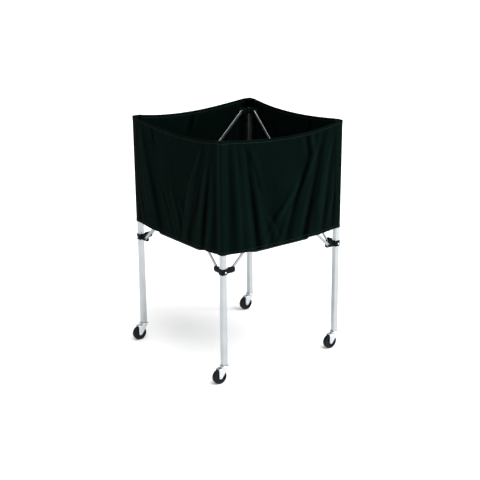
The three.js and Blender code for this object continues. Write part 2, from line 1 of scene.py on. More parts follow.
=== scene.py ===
# %% [markdown]
# # A folding ball cart
#
# The cart is a cloth hopper hung on four square tube legs. Crossed flat bars on each side let the
# frame close up like an umbrella, and each leg stands on a swivel caster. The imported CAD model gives
# every place and every motion. This lesson dresses it: soft cloth in place of stiff panels, rounded
# metal and plastic in place of faceted solids, and a finish for each material.

# %% Load the frame
import json
import math

import bmesh
import bpy
from mathutils import Matrix, Quaternion, Vector, noise


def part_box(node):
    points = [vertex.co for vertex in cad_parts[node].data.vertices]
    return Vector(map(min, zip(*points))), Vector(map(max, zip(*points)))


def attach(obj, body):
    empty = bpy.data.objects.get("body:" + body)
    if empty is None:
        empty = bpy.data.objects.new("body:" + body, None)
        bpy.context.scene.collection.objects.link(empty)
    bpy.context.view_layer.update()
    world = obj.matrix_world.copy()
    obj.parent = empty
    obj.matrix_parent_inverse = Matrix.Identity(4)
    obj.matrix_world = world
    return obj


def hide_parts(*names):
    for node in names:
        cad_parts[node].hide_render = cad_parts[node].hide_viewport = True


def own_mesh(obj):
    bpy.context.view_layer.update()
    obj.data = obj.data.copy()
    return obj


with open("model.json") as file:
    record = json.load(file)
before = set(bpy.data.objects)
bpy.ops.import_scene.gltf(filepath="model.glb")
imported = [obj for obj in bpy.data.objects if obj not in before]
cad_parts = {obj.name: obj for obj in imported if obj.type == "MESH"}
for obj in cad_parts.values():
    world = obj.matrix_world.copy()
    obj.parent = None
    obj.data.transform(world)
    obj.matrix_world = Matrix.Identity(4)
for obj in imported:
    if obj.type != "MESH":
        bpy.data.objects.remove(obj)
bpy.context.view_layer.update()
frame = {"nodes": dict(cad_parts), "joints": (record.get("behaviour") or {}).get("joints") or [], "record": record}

# %% [markdown]
# Sizes come first, so that everything later is placed from a few measured values. The legs, brackets
# and sliders are read from the frame. The rest repeats the sizes that the solids were drawn with.

# %% Sizes, in metres
TONGUE_REACH = 0.046  # from the middle of a leg to the pin of a bar
CORNERS = {"front_left": (-1, -1), "front_right": (1, -1), "rear_left": (-1, 1), "rear_right": (1, 1)}


def middle(node):
    low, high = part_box(node)
    return (low + high) / 2


leg_at = {name: middle(f"{name}_leg") for name in CORNERS}
centre = sum(leg_at.values(), Vector()) / 4
half_spacing = leg_at["front_right"].x - centre.x
leg_low, leg_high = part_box("front_left_leg")
leg_side = leg_high.x - leg_low.x
upper_pivot_z = middle("front_left_top_bracket").z
lower_pivot_z = middle("front_left_slider").z
wall_low, wall_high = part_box("bag_front_wall")
rim_z = wall_high.z
wall_outer = centre.x - wall_low.x
floor_low, floor_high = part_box("bag_floor")
floor_edge_z = floor_high.z
bar_span, bar_rise = 2 * (half_spacing - TONGUE_REACH), upper_pivot_z - lower_pivot_z
bar_length = math.hypot(bar_span, bar_rise)
bar_slope = math.atan2(bar_rise, bar_span)
print("leg spacing", round(2 * half_spacing, 4), "leg top", round(leg_high.z, 4), "rim", round(rim_z, 4))

# %% [markdown]
# Four small helpers are used all the way through. One turns a colour as it is seen on a screen into
# the linear values that Blender mixes. One adds a node with its settings and links. One starts a
# material and hands over its node tree and shader. One turns a finished bmesh into an object.

# %% Helpers
def srgb(code):
    values = [int(code[i : i + 2], 16) / 255 for i in (1, 3, 5)]
    linear = [v / 12.92 if v <= 0.04045 else ((v + 0.055) / 1.055) ** 2.4 for v in values]
    return (*linear, 1.0)


def add(tree, kind, settings=None, **inputs):
    """Adds a node. An input is a value, or the output socket that it is linked from. It is named as in
    Blender, with _ for a space, or counted as _0, _1 and so on."""
    node = tree.nodes.new(kind)
    for name, value in (settings or {}).items():
        setattr(node, name, value)
    for name, value in inputs.items():
        socket = node.inputs[int(name[1:]) if name[1:].isdigit() else name.replace("_", " ")]
        if isinstance(value, bpy.types.NodeSocket):
            tree.links.new(value, socket)
        else:
            socket.default_value = value
    return node


def start_material(name):
    material = bpy.data.materials.new(name)
    material.use_nodes = True
    tree = material.node_tree
    shader = tree.nodes["Principled BSDF"]
    return material, tree, shader


def to_object(name, bm, material, smooth_angle=35.0):
    """Makes an object of a bmesh, smooth except along edges sharper than the angle."""
    limit = math.radians(smooth_angle)
    for face in bm.faces:
        face.smooth = True
    for edge in bm.edges:
        edge.smooth = len(edge.link_faces) != 2 or edge.calc_face_angle(0.0) < limit
    mesh = bpy.data.meshes.new(name)
    bm.to_mesh(mesh)
    bm.free()
    piece = bpy.data.objects.new(name, mesh)
    bpy.context.scene.collection.objects.link(piece)
    mesh.materials.append(material)
    return piece


print("the middle grey of a screen is mixed as", round(srgb("#808080")[0], 3))

# %% [markdown]
# ## Cloth
#
# The hopper is woven polyester, coated on the inside and dyed black. Its thread spacing is about
# 0.4 mm, too fine to show here, so the weave is drawn at 1.6 mm. The light is lost between the
# yarns, so the cloth reflects far less than a smooth plastic. The light and shade of its folds are
# painted into the dye: a painted highlight on the ridges and painted shade in the hollows, as an
# attribute of each wall gives them for each point.
#
# Rows of stitches follow the rim, the hem and the seams. Modelling each stitch would take thousands
# of small solids, and at this distance a row reads as a thin broken line. So the cloth carries two
# more UV maps in metres, and the material draws the thread where they say that a row runs: "edges"
# has the distance below the rim and above the hem, and "seam" the distance from the nearest seam.

# %% Woven polyester
WEAVE_SPACING = 0.0016
WEAVE_SCALE = math.pi / (10 * WEAVE_SPACING)  # at a scale of 1 the bands lie pi / 10 apart
WEAVE_SHADE = 0.35  # how far the gaps between the yarns darken the dye
SOILING = 0.12  # how far a soiled patch shifts the dye, either way

cloth, tree, shader = start_material("woven_polyester_black")
uv = add(tree, "ShaderNodeUVMap", {"uv_map": "cloth"}).outputs["UV"]
weft, warp = (add(tree, "ShaderNodeTexWave", {"wave_type": "BANDS", "bands_direction": way},
                  Vector=uv, Scale=WEAVE_SCALE, Distortion=0.3).outputs["Fac"] for way in "XY")
weave = add(tree, "ShaderNodeMath", {"operation": "MULTIPLY"}, _0=weft, _1=warp)
place = add(tree, "ShaderNodeTexCoord").outputs["Object"]
# The soiling lies in patches of about 110 mm.
soiling = add(tree, "ShaderNodeTexNoise", Vector=place, Scale=9.0, Detail=5.0, Roughness=0.6)
# This attribute paints the light and shade of the folds: 1 is a ridge's painted highlight, 0 a hollow's painted
# shade.
fold_light = add(tree, "ShaderNodeAttribute", {"attribute_name": "fold_light"}).outputs["Fac"]
patchy = add(tree, "ShaderNodeMapRange", Value=soiling.outputs["Fac"], To_Min=-SOILING, To_Max=SOILING)
soil_and_fold_light = add(tree, "ShaderNodeMath", {"operation": "ADD", "use_clamp": True}, _0=fold_light, _1=patchy.outputs[0])
# The dye runs from the painted shade of a hollow to the painted highlight of a ridge, shifted either way by the
# soiling.
dye_with_fold_light = add(tree, "ShaderNodeMix", {"data_type": "RGBA"}, _0=soil_and_fold_light.outputs[0],
          _6=srgb("#010303"), _7=srgb("#0a1815"))
yarn = add(tree, "ShaderNodeMix", {"data_type": "RGBA", "blend_type": "MULTIPLY"}, _0=WEAVE_SHADE,
           _6=dye_with_fold_light.outputs[2], _7=weave.outputs[0])
shader.inputs["Roughness"].default_value = 0.5
shader.inputs["Specular IOR Level"].default_value = 0.003
shader.inputs["Specular Tint"].default_value = srgb("#7fc4b8")
print("weave drawn at", WEAVE_SPACING * 1000, "mm")

# %% [markdown]
# A stitch is 3 mm long with a gap of 1 mm, and its thread is 0.6 mm thick, drawn at 0.9 mm so that it
# shows. It is twisted black polyester, a touch lighter than the cloth because its round strands
# catch the light.

# %% Rows of stitches
TURN_OVER = 0.014  # depth of the turned band at the rim
HEM_TURN = 0.012  # and at the hem
ROW_INSET = 0.002  # from the edge of a turned band to its row
SEAM_ROW = 0.003  # from a seam to the row on each side of it
STITCH_PITCH = 0.004
STITCH_LENGTH = 0.003
THREAD_HALF = 0.00045

along, down = add(tree, "ShaderNodeSeparateXYZ", Vector=uv).outputs[:2]
edges = add(tree, "ShaderNodeUVMap", {"uv_map": "edges"}).outputs["UV"]
below_rim, above_hem = add(tree, "ShaderNodeSeparateXYZ", Vector=edges).outputs[:2]
seams = add(tree, "ShaderNodeUVMap", {"uv_map": "seam"}).outputs["UV"]
beside_seam = add(tree, "ShaderNodeSeparateXYZ", Vector=seams).outputs[0]

# Dashes are 1 on a stitch and 0 in the gap after it, along the cloth and down it.
dashes = []
for run in (along, down):
    turn = add(tree, "ShaderNodeMath", {"operation": "MODULO"}, _0=run, _1=STITCH_PITCH)
    step = add(tree, "ShaderNodeMath", {"operation": "ABSOLUTE"}, _0=turn.outputs[0])
    dash = add(tree, "ShaderNodeMath", {"operation": "LESS_THAN"}, _0=step.outputs[0], _1=STITCH_LENGTH)
    dashes.append(dash.outputs[0])

# A row has its dashes where the distance is that of the row, and the rows are laid over each other.
rows = [(below_rim, TURN_OVER - ROW_INSET, dashes[0]), (above_hem, HEM_TURN - ROW_INSET, dashes[0]),
        (beside_seam, SEAM_ROW, dashes[1]), (beside_seam, -SEAM_ROW, dashes[1])]
stitches = 0.0
for distance, at, dash in rows:
    row = add(tree, "ShaderNodeMath", {"operation": "COMPARE"}, _0=distance, _1=at, _2=THREAD_HALF)
    drawn = add(tree, "ShaderNodeMath", {"operation": "MULTIPLY"}, _0=row.outputs[0], _1=dash)
    both = add(tree, "ShaderNodeMath", {"operation": "MAXIMUM"}, _0=stitches, _1=drawn.outputs[0])
    stitches = both.outputs[0]

sewn = add(tree, "ShaderNodeMix", {"data_type": "RGBA"}, _0=stitches,
           _6=yarn.outputs[2], _7=srgb("#26302f"))
relief = add(tree, "ShaderNodeMath", {"operation": "ADD"}, _0=weave.outputs[0], _1=stitches)
bump = add(tree, "ShaderNodeBump", Height=relief.outputs[0], Strength=0.25, Distance=0.0004)
tree.links.new(sewn.outputs[2], shader.inputs["Base Color"])
tree.links.new(bump.outputs["Normal"], shader.inputs["Normal"])
print("rows of stitches", len(rows), "with a stitch every", STITCH_PITCH * 1000, "mm")

# %% [markdown]
# The floor panel is a heavier cloth whose coating faces down. It takes the same weave, so its
# material is a copy of the first with two lighter shades of dye.

# %% Coated cloth of the floor
floor_cloth = cloth.copy()
floor_cloth.name = "coated_polyester_charcoal"
shades = floor_cloth.node_tree.nodes[dye_with_fold_light.name].inputs
shades[6].default_value = srgb("#14201f")
shades[7].default_value = srgb("#2c3f3e")
print("materials of cloth:", cloth.name, floor_cloth.name)

# %% [markdown]
# ## Metals
#
# The legs are drawn aluminium tube, clear anodised: a satin grey metal whose fine die lines run
# along the tube. The crossed bars are rolled flat aluminium with a similar satin face. The casters'
# yokes are stamped steel with bright zinc plating, smoother and a little bluer. The die lines are
# drawn 1 mm apart and the grain of the other two at 3 to 4 mm, because the real ones, a few
# hundredths of a millimetre wide, are far too fine to show here.

# %% Anodised aluminium, rolled aluminium and zinc plating
def link_surface(tree, shader, tone, gloss, bump):
    """Links a colour, a roughness and a relief to the shader."""
    tree.links.new(tone.outputs[2], shader.inputs["Base Color"])
    tree.links.new(gloss.outputs[0], shader.inputs["Roughness"])
    tree.links.new(bump.outputs["Normal"], shader.inputs["Normal"])


def brushed_metal(name, dark, light, roughness, stretch, per_metre):
    """A metal between two shades. Its grain has that many spots in a metre, drawn out by the stretch."""
    material, tree, shader = start_material(name)
    place = add(tree, "ShaderNodeTexCoord").outputs["Object"]
    drawn = add(tree, "ShaderNodeMapping", {"vector_type": "POINT"}, Vector=place, Scale=stretch)
    grain = add(tree, "ShaderNodeTexNoise", Vector=drawn.outputs[0], Scale=per_metre,
                Detail=3.0, Roughness=0.55).outputs["Fac"]
    # Handling leaves cloudy patches of about 70 mm.
    cloudy = add(tree, "ShaderNodeTexNoise", Vector=place, Scale=14.0, Detail=3.0)
    streaks = add(tree, "ShaderNodeMath", {"operation": "MULTIPLY"}, _0=grain, _1=cloudy.outputs["Fac"])
    spread = add(tree, "ShaderNodeMapRange", Value=streaks.outputs[0], From_Min=0.1, From_Max=0.45)
    tone = add(tree, "ShaderNodeMix", {"data_type": "RGBA"}, _0=spread.outputs[0],
               _6=srgb(dark), _7=srgb(light))
    gloss = add(tree, "ShaderNodeMapRange", Value=grain, To_Min=roughness - 0.06, To_Max=roughness + 0.08)
    bump = add(tree, "ShaderNodeBump", Height=grain, Strength=0.08, Distance=0.0002)
    link_surface(tree, shader, tone, gloss, bump)
    shader.inputs["Metallic"].default_value = 1.0
    return material


tube = brushed_metal("clear_anodised_aluminium", "#a3a8ab", "#b3b7b9", 0.34, (1.0, 1.0, 0.02), 900.0)
flat_bar = brushed_metal("rolled_aluminium", "#8f9497", "#a3a8aa", 0.4, (1.0, 1.0, 1.0), 300.0)
plated = brushed_metal("bright_zinc_plating", "#b4babf", "#d6d9dc", 0.26, (1.0, 1.0, 1.0), 260.0)
print("metals:", tube.name, flat_bar.name, plated.name)

# %% [markdown]
# ## Plastic and tyre
#
# Brackets, sliders and plugs are moulded black nylon with a fine spark-eroded grain, about 0.3 mm
# across and drawn at 1 mm. The wheels are a hard black rubber, its grain drawn at 1.4 mm.

# %% Moulded nylon and hard rubber
def moulded(name, dark, light, roughness, grain, strength, specular):
    """A plastic or rubber between two shades, with pits as wide as the grain. Its wear lies in patches of
    about 20 mm."""
    material, tree, shader = start_material(name)
    place = add(tree, "ShaderNodeTexCoord").outputs["Object"]
    pits = add(tree, "ShaderNodeTexNoise", Vector=place, Scale=1.0 / grain, Detail=2.0)
    wear = add(tree, "ShaderNodeTexNoise", Vector=place, Scale=45.0, Detail=4.0, Roughness=0.65)
    tone = add(tree, "ShaderNodeMix", {"data_type": "RGBA"}, _0=wear.outputs["Fac"],
               _6=srgb(dark), _7=srgb(light))
    gloss = add(tree, "ShaderNodeMapRange", Value=wear.outputs["Fac"],
                To_Min=roughness - 0.08, To_Max=roughness + 0.1)
    bump = add(tree, "ShaderNodeBump", Height=pits.outputs["Fac"], Strength=strength, Distance=0.0003)
    link_surface(tree, shader, tone, gloss, bump)
    shader.inputs["Specular IOR Level"].default_value = specular
    return material


nylon = moulded("moulded_black_nylon", "#050a0a", "#0d1515", 0.52, 0.001, 0.35, 0.05)
rubber = moulded("hard_black_rubber", "#060b0b", "#0e1515", 0.5, 0.0014, 0.25, 0.12)
print("plastic and rubber:", nylon.name, rubber.name)

# %% [markdown]
# ## The hopper's walls
#
# Each wall hangs from the pockets at its two ends. Its rim sags between them, and the pull of the
# pockets draws folds that start narrow at the top corners and open out towards the hem. A cloth
# simulation would place its folds by chance, so each fold here is a drawn ridge: a line from a point
# near the rim to a point near the hem, with its own width and height. A plain grid is then moved
# onto that form.
#
# The strip of cloth round each leg stays flat, so it is a piece of its own that rides with its leg.
#
# The main folds come first, as the solids have them. Each line gives its place at the rim and at the
# hem, from -1 to 1 between the flat strips and seen from outside, and how far the cloth stands out.

# %% Main folds of the four walls, in millimetres
MAIN_FOLDS = {
    "front": [(-0.8, -0.62, 7), (-0.71, -0.48, 0.5), (-0.62, -0.34, 5), (-0.2, -0.2, 1.5), (0.38, -0.05, 5.5),
              (0.58, 0.1, 1), (0.7, 0.25, 6.5), (0.8, 0.4, 1), (0.88, 0.55, 8)],
    "right": [(-0.87, -0.62, 7.5), (-0.8, -0.48, 0.5), (-0.68, -0.28, 5), (-0.3, -0.1, 1), (0.05, 0.03, 3.5),
              (0.45, 0.2, 1), (0.7, 0.36, 5.5), (0.8, 0.5, 0.5), (0.88, 0.64, 7)],
    "rear": [(-0.86, -0.58, 7), (-0.8, -0.44, 0.5), (-0.7, -0.22, 5), (-0.3, -0.1, 1.5), (0.1, 0.02, 3.5),
             (0.5, 0.16, 1), (0.72, 0.3, 5), (0.8, 0.46, 0.5), (0.87, 0.6, 7)],
    "left": [(-0.93, -0.52, 8), (-0.85, -0.34, 1), (-0.25, -0.02, 3), (0.3, 0.1, 1), (0.72, 0.2, 5),
             (0.79, 0.36, 0.5), (0.86, 0.52, 6.5), (0.9, 0.66, 1), (0.95, 0.78, 4)],
}
# Heights between hem (0) and rim (1), each with its share of a fold's depth.
FOLD_LEVELS = [(0.0, 0.75), (0.3, 1.0), (0.65, 0.6), (1.0, 0.0)]
print("main folds:", {side: len(lines) for side, lines in MAIN_FOLDS.items()})

# %% [markdown]
# Small folds run between the main ones. Each row gives a fold's place along the wall and its height
# above the hem, both at its top and then at its bottom, the bow of its line, its half width in metres
# at the top and at the bottom, and its height in millimetres, a hollow where that is negative. They
# are too fine for the solids and give the cloth its creased look.

# %% Small folds of the four walls
SMALL_FOLDS = {
    "front": [
        (-0.90, 0.97, -0.80, 0.02, 0.01, 0.007, 0.014, 2.2),
        (-0.76, 0.95, -0.56, 0.10, 0.02, 0.006, 0.012, 1.8),
        (-0.66, 0.92, -0.46, 0.55, 0.02, 0.007, 0.010, -1.8),
        (0.92, 0.93, 0.66, 0.03, -0.04, 0.006, 0.011, 2.6),
        (0.84, 0.95, 0.46, 0.04, -0.04, 0.006, 0.012, 2.2),
        (0.62, 0.85, 0.16, 0.04, -0.05, 0.007, 0.014, 2.2),
        (0.50, 0.75, 0.02, 0.03, -0.05, 0.007, 0.013, -1.8),
        (0.30, 0.58, -0.22, 0.04, -0.05, 0.008, 0.014, 2.2),
        (0.14, 0.44, -0.36, 0.02, -0.04, 0.008, 0.014, 2.0),
        (0.43, 0.97, 0.50, 0.78, 0.00, 0.007, 0.014, -3.0),
        (0.52, 0.97, 0.51, 0.80, 0.00, 0.006, 0.010, 2.4),
        (0.96, 0.62, 0.86, 0.02, 0.00, 0.006, 0.009, 2.6),
        (0.95, 0.42, 0.78, 0.02, 0.00, 0.006, 0.009, 2.0),
        (-0.30, 0.30, -0.12, 0.04, 0.02, 0.008, 0.014, 1.6),
    ],
    "left": [
        (-0.95, 0.78, -0.72, 0.03, -0.04, 0.007, 0.013, 2.8),
        (-0.97, 0.50, -0.82, 0.02, -0.02, 0.006, 0.010, 2.6),
        (-0.97, 0.32, -0.88, 0.02, 0.00, 0.005, 0.008, 2.2),
        (-0.88, 0.90, -0.62, 0.05, -0.06, 0.006, 0.012, 2.2),
        (0.82, 0.97, 0.42, 0.04, -0.05, 0.006, 0.013, 2.0),
        (0.66, 0.90, 0.28, 0.30, -0.04, 0.007, 0.014, 1.8),
        (0.90, 0.97, 0.62, 0.04, -0.03, 0.006, 0.012, 2.2),
        (-0.34, 0.44, -0.06, 0.06, 0.02, 0.008, 0.014, -1.6),
        (-0.14, 0.50, 0.12, 0.08, 0.02, 0.008, 0.014, 1.8),
        (0.10, 0.40, 0.26, 0.06, 0.02, 0.008, 0.013, 1.6),
        (-0.60, 0.98, -0.52, 0.84, 0.00, 0.007, 0.014, -2.0),
        (0.94, 0.50, 0.80, 0.04, 0.01, 0.008, 0.016, 2.0),
    ],
    "rear": [
        (-0.92, 0.90, -0.70, 0.04, -0.03, 0.006, 0.012, 2.4),
        (-0.76, 0.92, -0.36, 0.05, -0.05, 0.007, 0.013, 2.0),
        (0.92, 0.90, 0.72, 0.04, 0.03, 0.006, 0.012, 2.4),
        (0.76, 0.94, 0.40, 0.05, 0.04, 0.007, 0.013, 2.0),
        (0.95, 0.55, 0.84, 0.02, 0.00, 0.006, 0.010, 2.4),
        (-0.95, 0.50, -0.86, 0.02, 0.00, 0.006, 0.010, 2.2),
        (0.00, 0.98, 0.06, 0.82, 0.00, 0.007, 0.014, -2.4),
        (-0.20, 0.55, -0.02, 0.10, 0.03, 0.008, 0.014, 1.8),
    ],
    "right": [
        (-0.92, 0.92, -0.72, 0.03, -0.03, 0.006, 0.012, 2.4),
        (-0.76, 0.95, -0.40, 0.05, -0.04, 0.007, 0.013, 2.0),
        (0.93, 0.92, 0.74, 0.04, 0.03, 0.006, 0.012, 2.4),
        (0.74, 0.92, 0.42, 0.05, 0.04, 0.007, 0.013, 2.0),
        (0.96, 0.50, 0.84, 0.02, 0.00, 0.006, 0.010, 2.4),
        (-0.96, 0.45, -0.86, 0.02, 0.00, 0.006, 0.010, 2.2),
        (-0.40, 0.98, -0.34, 0.84, 0.00, 0.007, 0.014, -2.4),
        (0.20, 0.50, 0.10, 0.08, 0.02, 0.008, 0.014, 1.8),
    ],
}
print("small folds:", {side: len(lines) for side, lines in SMALL_FOLDS.items()})

# %% [markdown]
# From these lines come the heights of the cloth. Between two lines the height is eased, so that ridges
# and hollows are round, and two noises add slow ripples and fine creases. All of it fades out towards
# the flat strips, so that a wall meets them without a step.

# %% Form of a wall
RIM_SAG = {"front": 0.023, "left": 0.019, "rear": 0.020, "right": 0.019}
HEM_SAG = {"front": 0.010, "left": 0.006, "rear": 0.007, "right": 0.007}
HEM_CORNER_Z = floor_edge_z + 0.006  # height of the hem at the legs, just above the floor's edge
STRIP = 0.034  # width of the flat strip on each side of a leg, from the cloth's corner
CLOTH_HALF = wall_outer + 0.0005  # from the cart's centre to the face of the cloth, over the solid's
CORNER_ROUND = 0.008  # radius of the cloth round a leg at the rim, held by the pocket
HEM_ROUND = 0.014  # and at the hem, where it hangs free
EDGE_EASE = 0.07  # share of a half wall in which its folds fade out at a strip
CLOTH_OUT = 0.6  # how far the slack cloth stands out everywhere, in millimetres
FOLD_LIGHT_REACH = 0.09  # share of a half wall within which a ridge is told from a hollow
FOLD_LIGHT_HEIGHT = 7.0  # from a hollow in full painted shade to a ridge in full painted highlight, in millimetres
SIDE_TURN = {"front": 0.0, "right": math.pi / 2, "rear": math.pi, "left": -math.pi / 2}


def smooth(share):
    share = min(max(share, 0), 1)
    return share * share * (3 - 2 * share)


def level_share(up):
    """Share of a main fold's depth at a height, in straight lines between the levels."""
    for (low, share), (high, following) in zip(FOLD_LEVELS, FOLD_LEVELS[1:]):
        if up <= high:
            return share + (following - share) * (up - low) / (high - low)
    return FOLD_LEVELS[-1][1]


def main_height(side, along, up):
    """Height of the main folds, eased from one line to the next so that ridges and hollows are round."""
    lines = [(-1, 0)] + [(low + (top - low) * up, out) for top, low, out in MAIN_FOLDS[side]] + [(1, 0)]
    for (start, out), (stop, following) in zip(lines, lines[1:]):
        if along <= stop:
            share = (along - start) / max(stop - start, 1e-6)
            return (out + (following - out) * smooth(share)) * level_share(up)
    return 0.0


def small_height(side, along, up):
    """Height of the small folds. Each fades in over its top and out past its lower end."""
    total = 0.0
    for top_s, top_t, low_s, low_t, bow, top_w, low_w, height in SMALL_FOLDS[side]:
        share = (top_t - up) / (top_t - low_t)
        held = min(max(share, 0), 1)
        line = top_s + (low_s - top_s) * share + bow * math.sin(math.pi * held)
        near = math.exp(-(((along - line) * half_spacing / (top_w + (low_w - top_w) * held)) ** 2))
        total += height * near * smooth((share + 0.06) / 0.22) * smooth((1.25 - share) / 0.4)
    return total


def fold_height(side, along, up):
    return main_height(side, along, up) + small_height(side, along, up)


def rim_and_hem(side, s):
    """Heights of a wall's rim and hem at a distance along it."""
    along = s / (CLOTH_HALF - STRIP)
    sag = max(1 - along * along, 0)
    return rim_z - RIM_SAG[side] * sag * (1 + 0.25 * along), HEM_CORNER_Z - HEM_SAG[side] * sag


def wall_point(side, s, up):
    """Place of a wall's cloth in its side's own frame, X along the side and -Y outwards, and its painted
    light: 1 for a painted highlight on a ridge, 0 for painted shade in a hollow, between them on flat cloth."""
    along = s / (CLOTH_HALF - STRIP)
    rim, hem = rim_and_hem(side, s)
    ease = smooth((1 - abs(along)) / EDGE_EASE)
    ripple = noise.fractal(Vector((s * 11, up * 2.3, SIDE_TURN[side] * 3)), 0.9, 2.0, 3) * 1.1
    crease = noise.noise(Vector((s * 70 - up * 10, up * 12, SIDE_TURN[side]))) * 0.35
    folds = fold_height(side, along, up)
    beside = (fold_height(side, along - FOLD_LIGHT_REACH, up) + fold_height(side, along + FOLD_LIGHT_REACH, up)) / 2
    out = 0.001 * (folds + (ripple + crease + CLOTH_OUT) * ease)
    # Painted light and shade of the folds: cloth higher than the cloth beside it is lightened, lower cloth is
    # darkened.
    fold_light = 0.5 + (folds - beside + ripple * 0.5) / FOLD_LIGHT_HEIGHT
    return Vector((s, -CLOTH_HALF - out * ease, hem + (rim - hem) * up)), min(max(fold_light, 0), 1)


print("the middle of the front wall lies at", [round(v, 4) for v in wall_point("front", 0.0, 0.5)[0]])

# %% [markdown]
# The rim is turned over by 14 mm and the hem by 12 mm, sewn 2 mm from the edge. A band is a second layer
# of cloth, so it stands 0.9 mm proud, and the row of stitches pulls a shallow groove. The walls, the
# strips and the floor all get their UV maps, their facing and their thickness in the same way, so
# these steps are functions too.

# %% Bands, UV maps and thickness
BAND_OUT = 0.0009
BAND_SLOPE = 0.003  # width in which a band's edge falls away
GROOVE_DEPTH = 0.0007
GROOVE_HALF = 0.0016
ROW_CROWDING = 0.55  # 0 for even rows of the grid, towards 1 for rows that crowd at rim and hem
CLOTH_THICKNESS = 0.001
FAR = 1.0  # distance of a seam or an edge that isn't near


def band_height(depth, above):
    """How far the doubled cloth of rim and hem stands out, with the groove that the stitches pull."""
    out = 0.0
    for distance, width in ((depth, TURN_OVER), (above, HEM_TURN)):
        out += BAND_OUT * (1 - min(max((distance - width) / BAND_SLOPE, 0), 1))
        out -= GROOVE_DEPTH * math.exp(-(((distance - width + ROW_INSET) / GROOVE_HALF) ** 2))
    return out


def closer_rows(up):
    """Rows lie closer together at the rim and the hem, where the turned bands are."""
    return up - math.sin(4 * math.pi * up) / (4 * math.pi) * ROW_CROWDING if 0 < up < 1 else up


def face_outwards(bm, outwards):
    bmesh.ops.recalc_face_normals(bm, faces=bm.faces)
    if sum(face.normal.dot(outwards) for face in bm.faces) < 0:
        bmesh.ops.reverse_faces(bm, faces=bm.faces)


def uv_cloth(bm, lay):
    """Writes the cloth's UV maps from each vertex's place along and up, the distances below the rim and
    above the hem, and the distance from a seam. A piece with no seam or edge near has these far off."""
    layers = [bm.loops.layers.uv.new(name) for name in ("cloth", "edges", "seam")]
    for face in bm.faces:
        for loop in face.loops:
            along, up, below_rim, above_hem, seam = lay[loop.vert]
            for layer, values in zip(layers, ((along, up), (below_rim, above_hem), (seam, 0))):
                loop[layer].uv = values


def thicken(piece):
    """Gives a sheet its thickness on the inner side."""
    solid = piece.modifiers.new("thickness", "SOLIDIFY")
    solid.thickness = CLOTH_THICKNESS
    solid.offset = -1.0
    return piece


print("the turned rim stands", round(1000 * band_height(TURN_OVER / 3, FAR), 2), "mm proud")

# %% [markdown]
# A wall is a grid with its rows and columns moved onto the drawn form. It is drawn as the front wall
# and turned about the middle of the cart into its own side.

# %% Walls
def make_wall(side):
    inner = CLOTH_HALF - STRIP
    bm = bmesh.new()
    bmesh.ops.create_grid(bm, x_segments=190, y_segments=150, size=0.5)
    fold_light = bm.verts.layers.float.new("fold_light")
    lay = {}
    for vert in bm.verts:
        s = vert.co.x * 2 * inner
        place, vert[fold_light] = wall_point(side, s, closer_rows(vert.co.y + 0.5))
        rim, hem = rim_and_hem(side, s)
        depth, above = rim - place.z, place.z - hem
        place.y -= band_height(depth, above)
        vert.co = place
        lay[vert] = (s, -depth, depth, above, FAR)
    uv_cloth(bm, lay)
    turn = Matrix.Translation((centre.x, centre.y, 0)) @ Matrix.Rotation(SIDE_TURN[side], 4, "Z")
    bmesh.ops.transform(bm, matrix=turn, verts=bm.verts)
    face_outwards(bm, turn.to_3x3() @ Vector((0, -1, 0)))
    return thicken(to_object(f"bag_{side}_panel", bm, cloth, 180))


walls = {side: make_wall(side) for side in MAIN_FOLDS}
print("wall triangles", {side: 2 * len(wall.data.polygons) for side, wall in walls.items()})

# %% [markdown]
# ## Corner strips and pockets
#
# At each leg the front and rear walls wrap round the corner and are sewn to the side walls 18 mm
# beyond it, with a felled seam and a row of stitches on each side of it. The strip is a grid that is
# bent round the corner, tighter at the rim than at the hem, and ends level with the walls beside it.

# %% Corner strips
SEAM_AT = 0.018  # from the corner of the hopper
SEAM_OUT = 0.0010  # height of the felled seam, and depth of the grooves of its two rows
SEAM_HALF = 0.0045
SEAM_GROOVE_HALF = 0.0012
STRIP_FOLD_LIGHT = 0.7  # lighter than flat cloth, which has 0.5 on this scale of painted fold light


def strip_run(radius):
    """Length of a strip round a corner of that radius, from one edge to the other."""
    return 2 * (STRIP - radius) + radius * math.pi / 2


def strip_place(run, radius):
    """Place and outward direction of a strip at a run along it, as seen from above the front left leg."""
    inner = CLOTH_HALF - radius
    straight = STRIP - radius
    past = run - (strip_run(radius) - straight)
    if run < straight:
        return Vector((-CLOTH_HALF, -inner + straight - run, 0)), Vector((-1, 0, 0))
    if past > 0:
        return Vector((-inner + past, -CLOTH_HALF, 0)), Vector((0, -1, 0))
    angle = math.pi + (run - straight) / radius
    away = Vector((math.cos(angle), math.sin(angle), 0))
    return Vector((-inner, -inner, 0)) + away * radius, away


def set_in_corner(bm, name, outwards):
    """Mirrors a piece that was drawn at the front left corner into its own, and faces it outwards."""
    sx, sy = CORNERS[name]
    flip = Matrix.Translation((centre.x, centre.y, 0)) @ Matrix.Diagonal((-sx, -sy, 1, 1))
    bmesh.ops.transform(bm, matrix=flip, verts=bm.verts)
    face_outwards(bm, outwards)


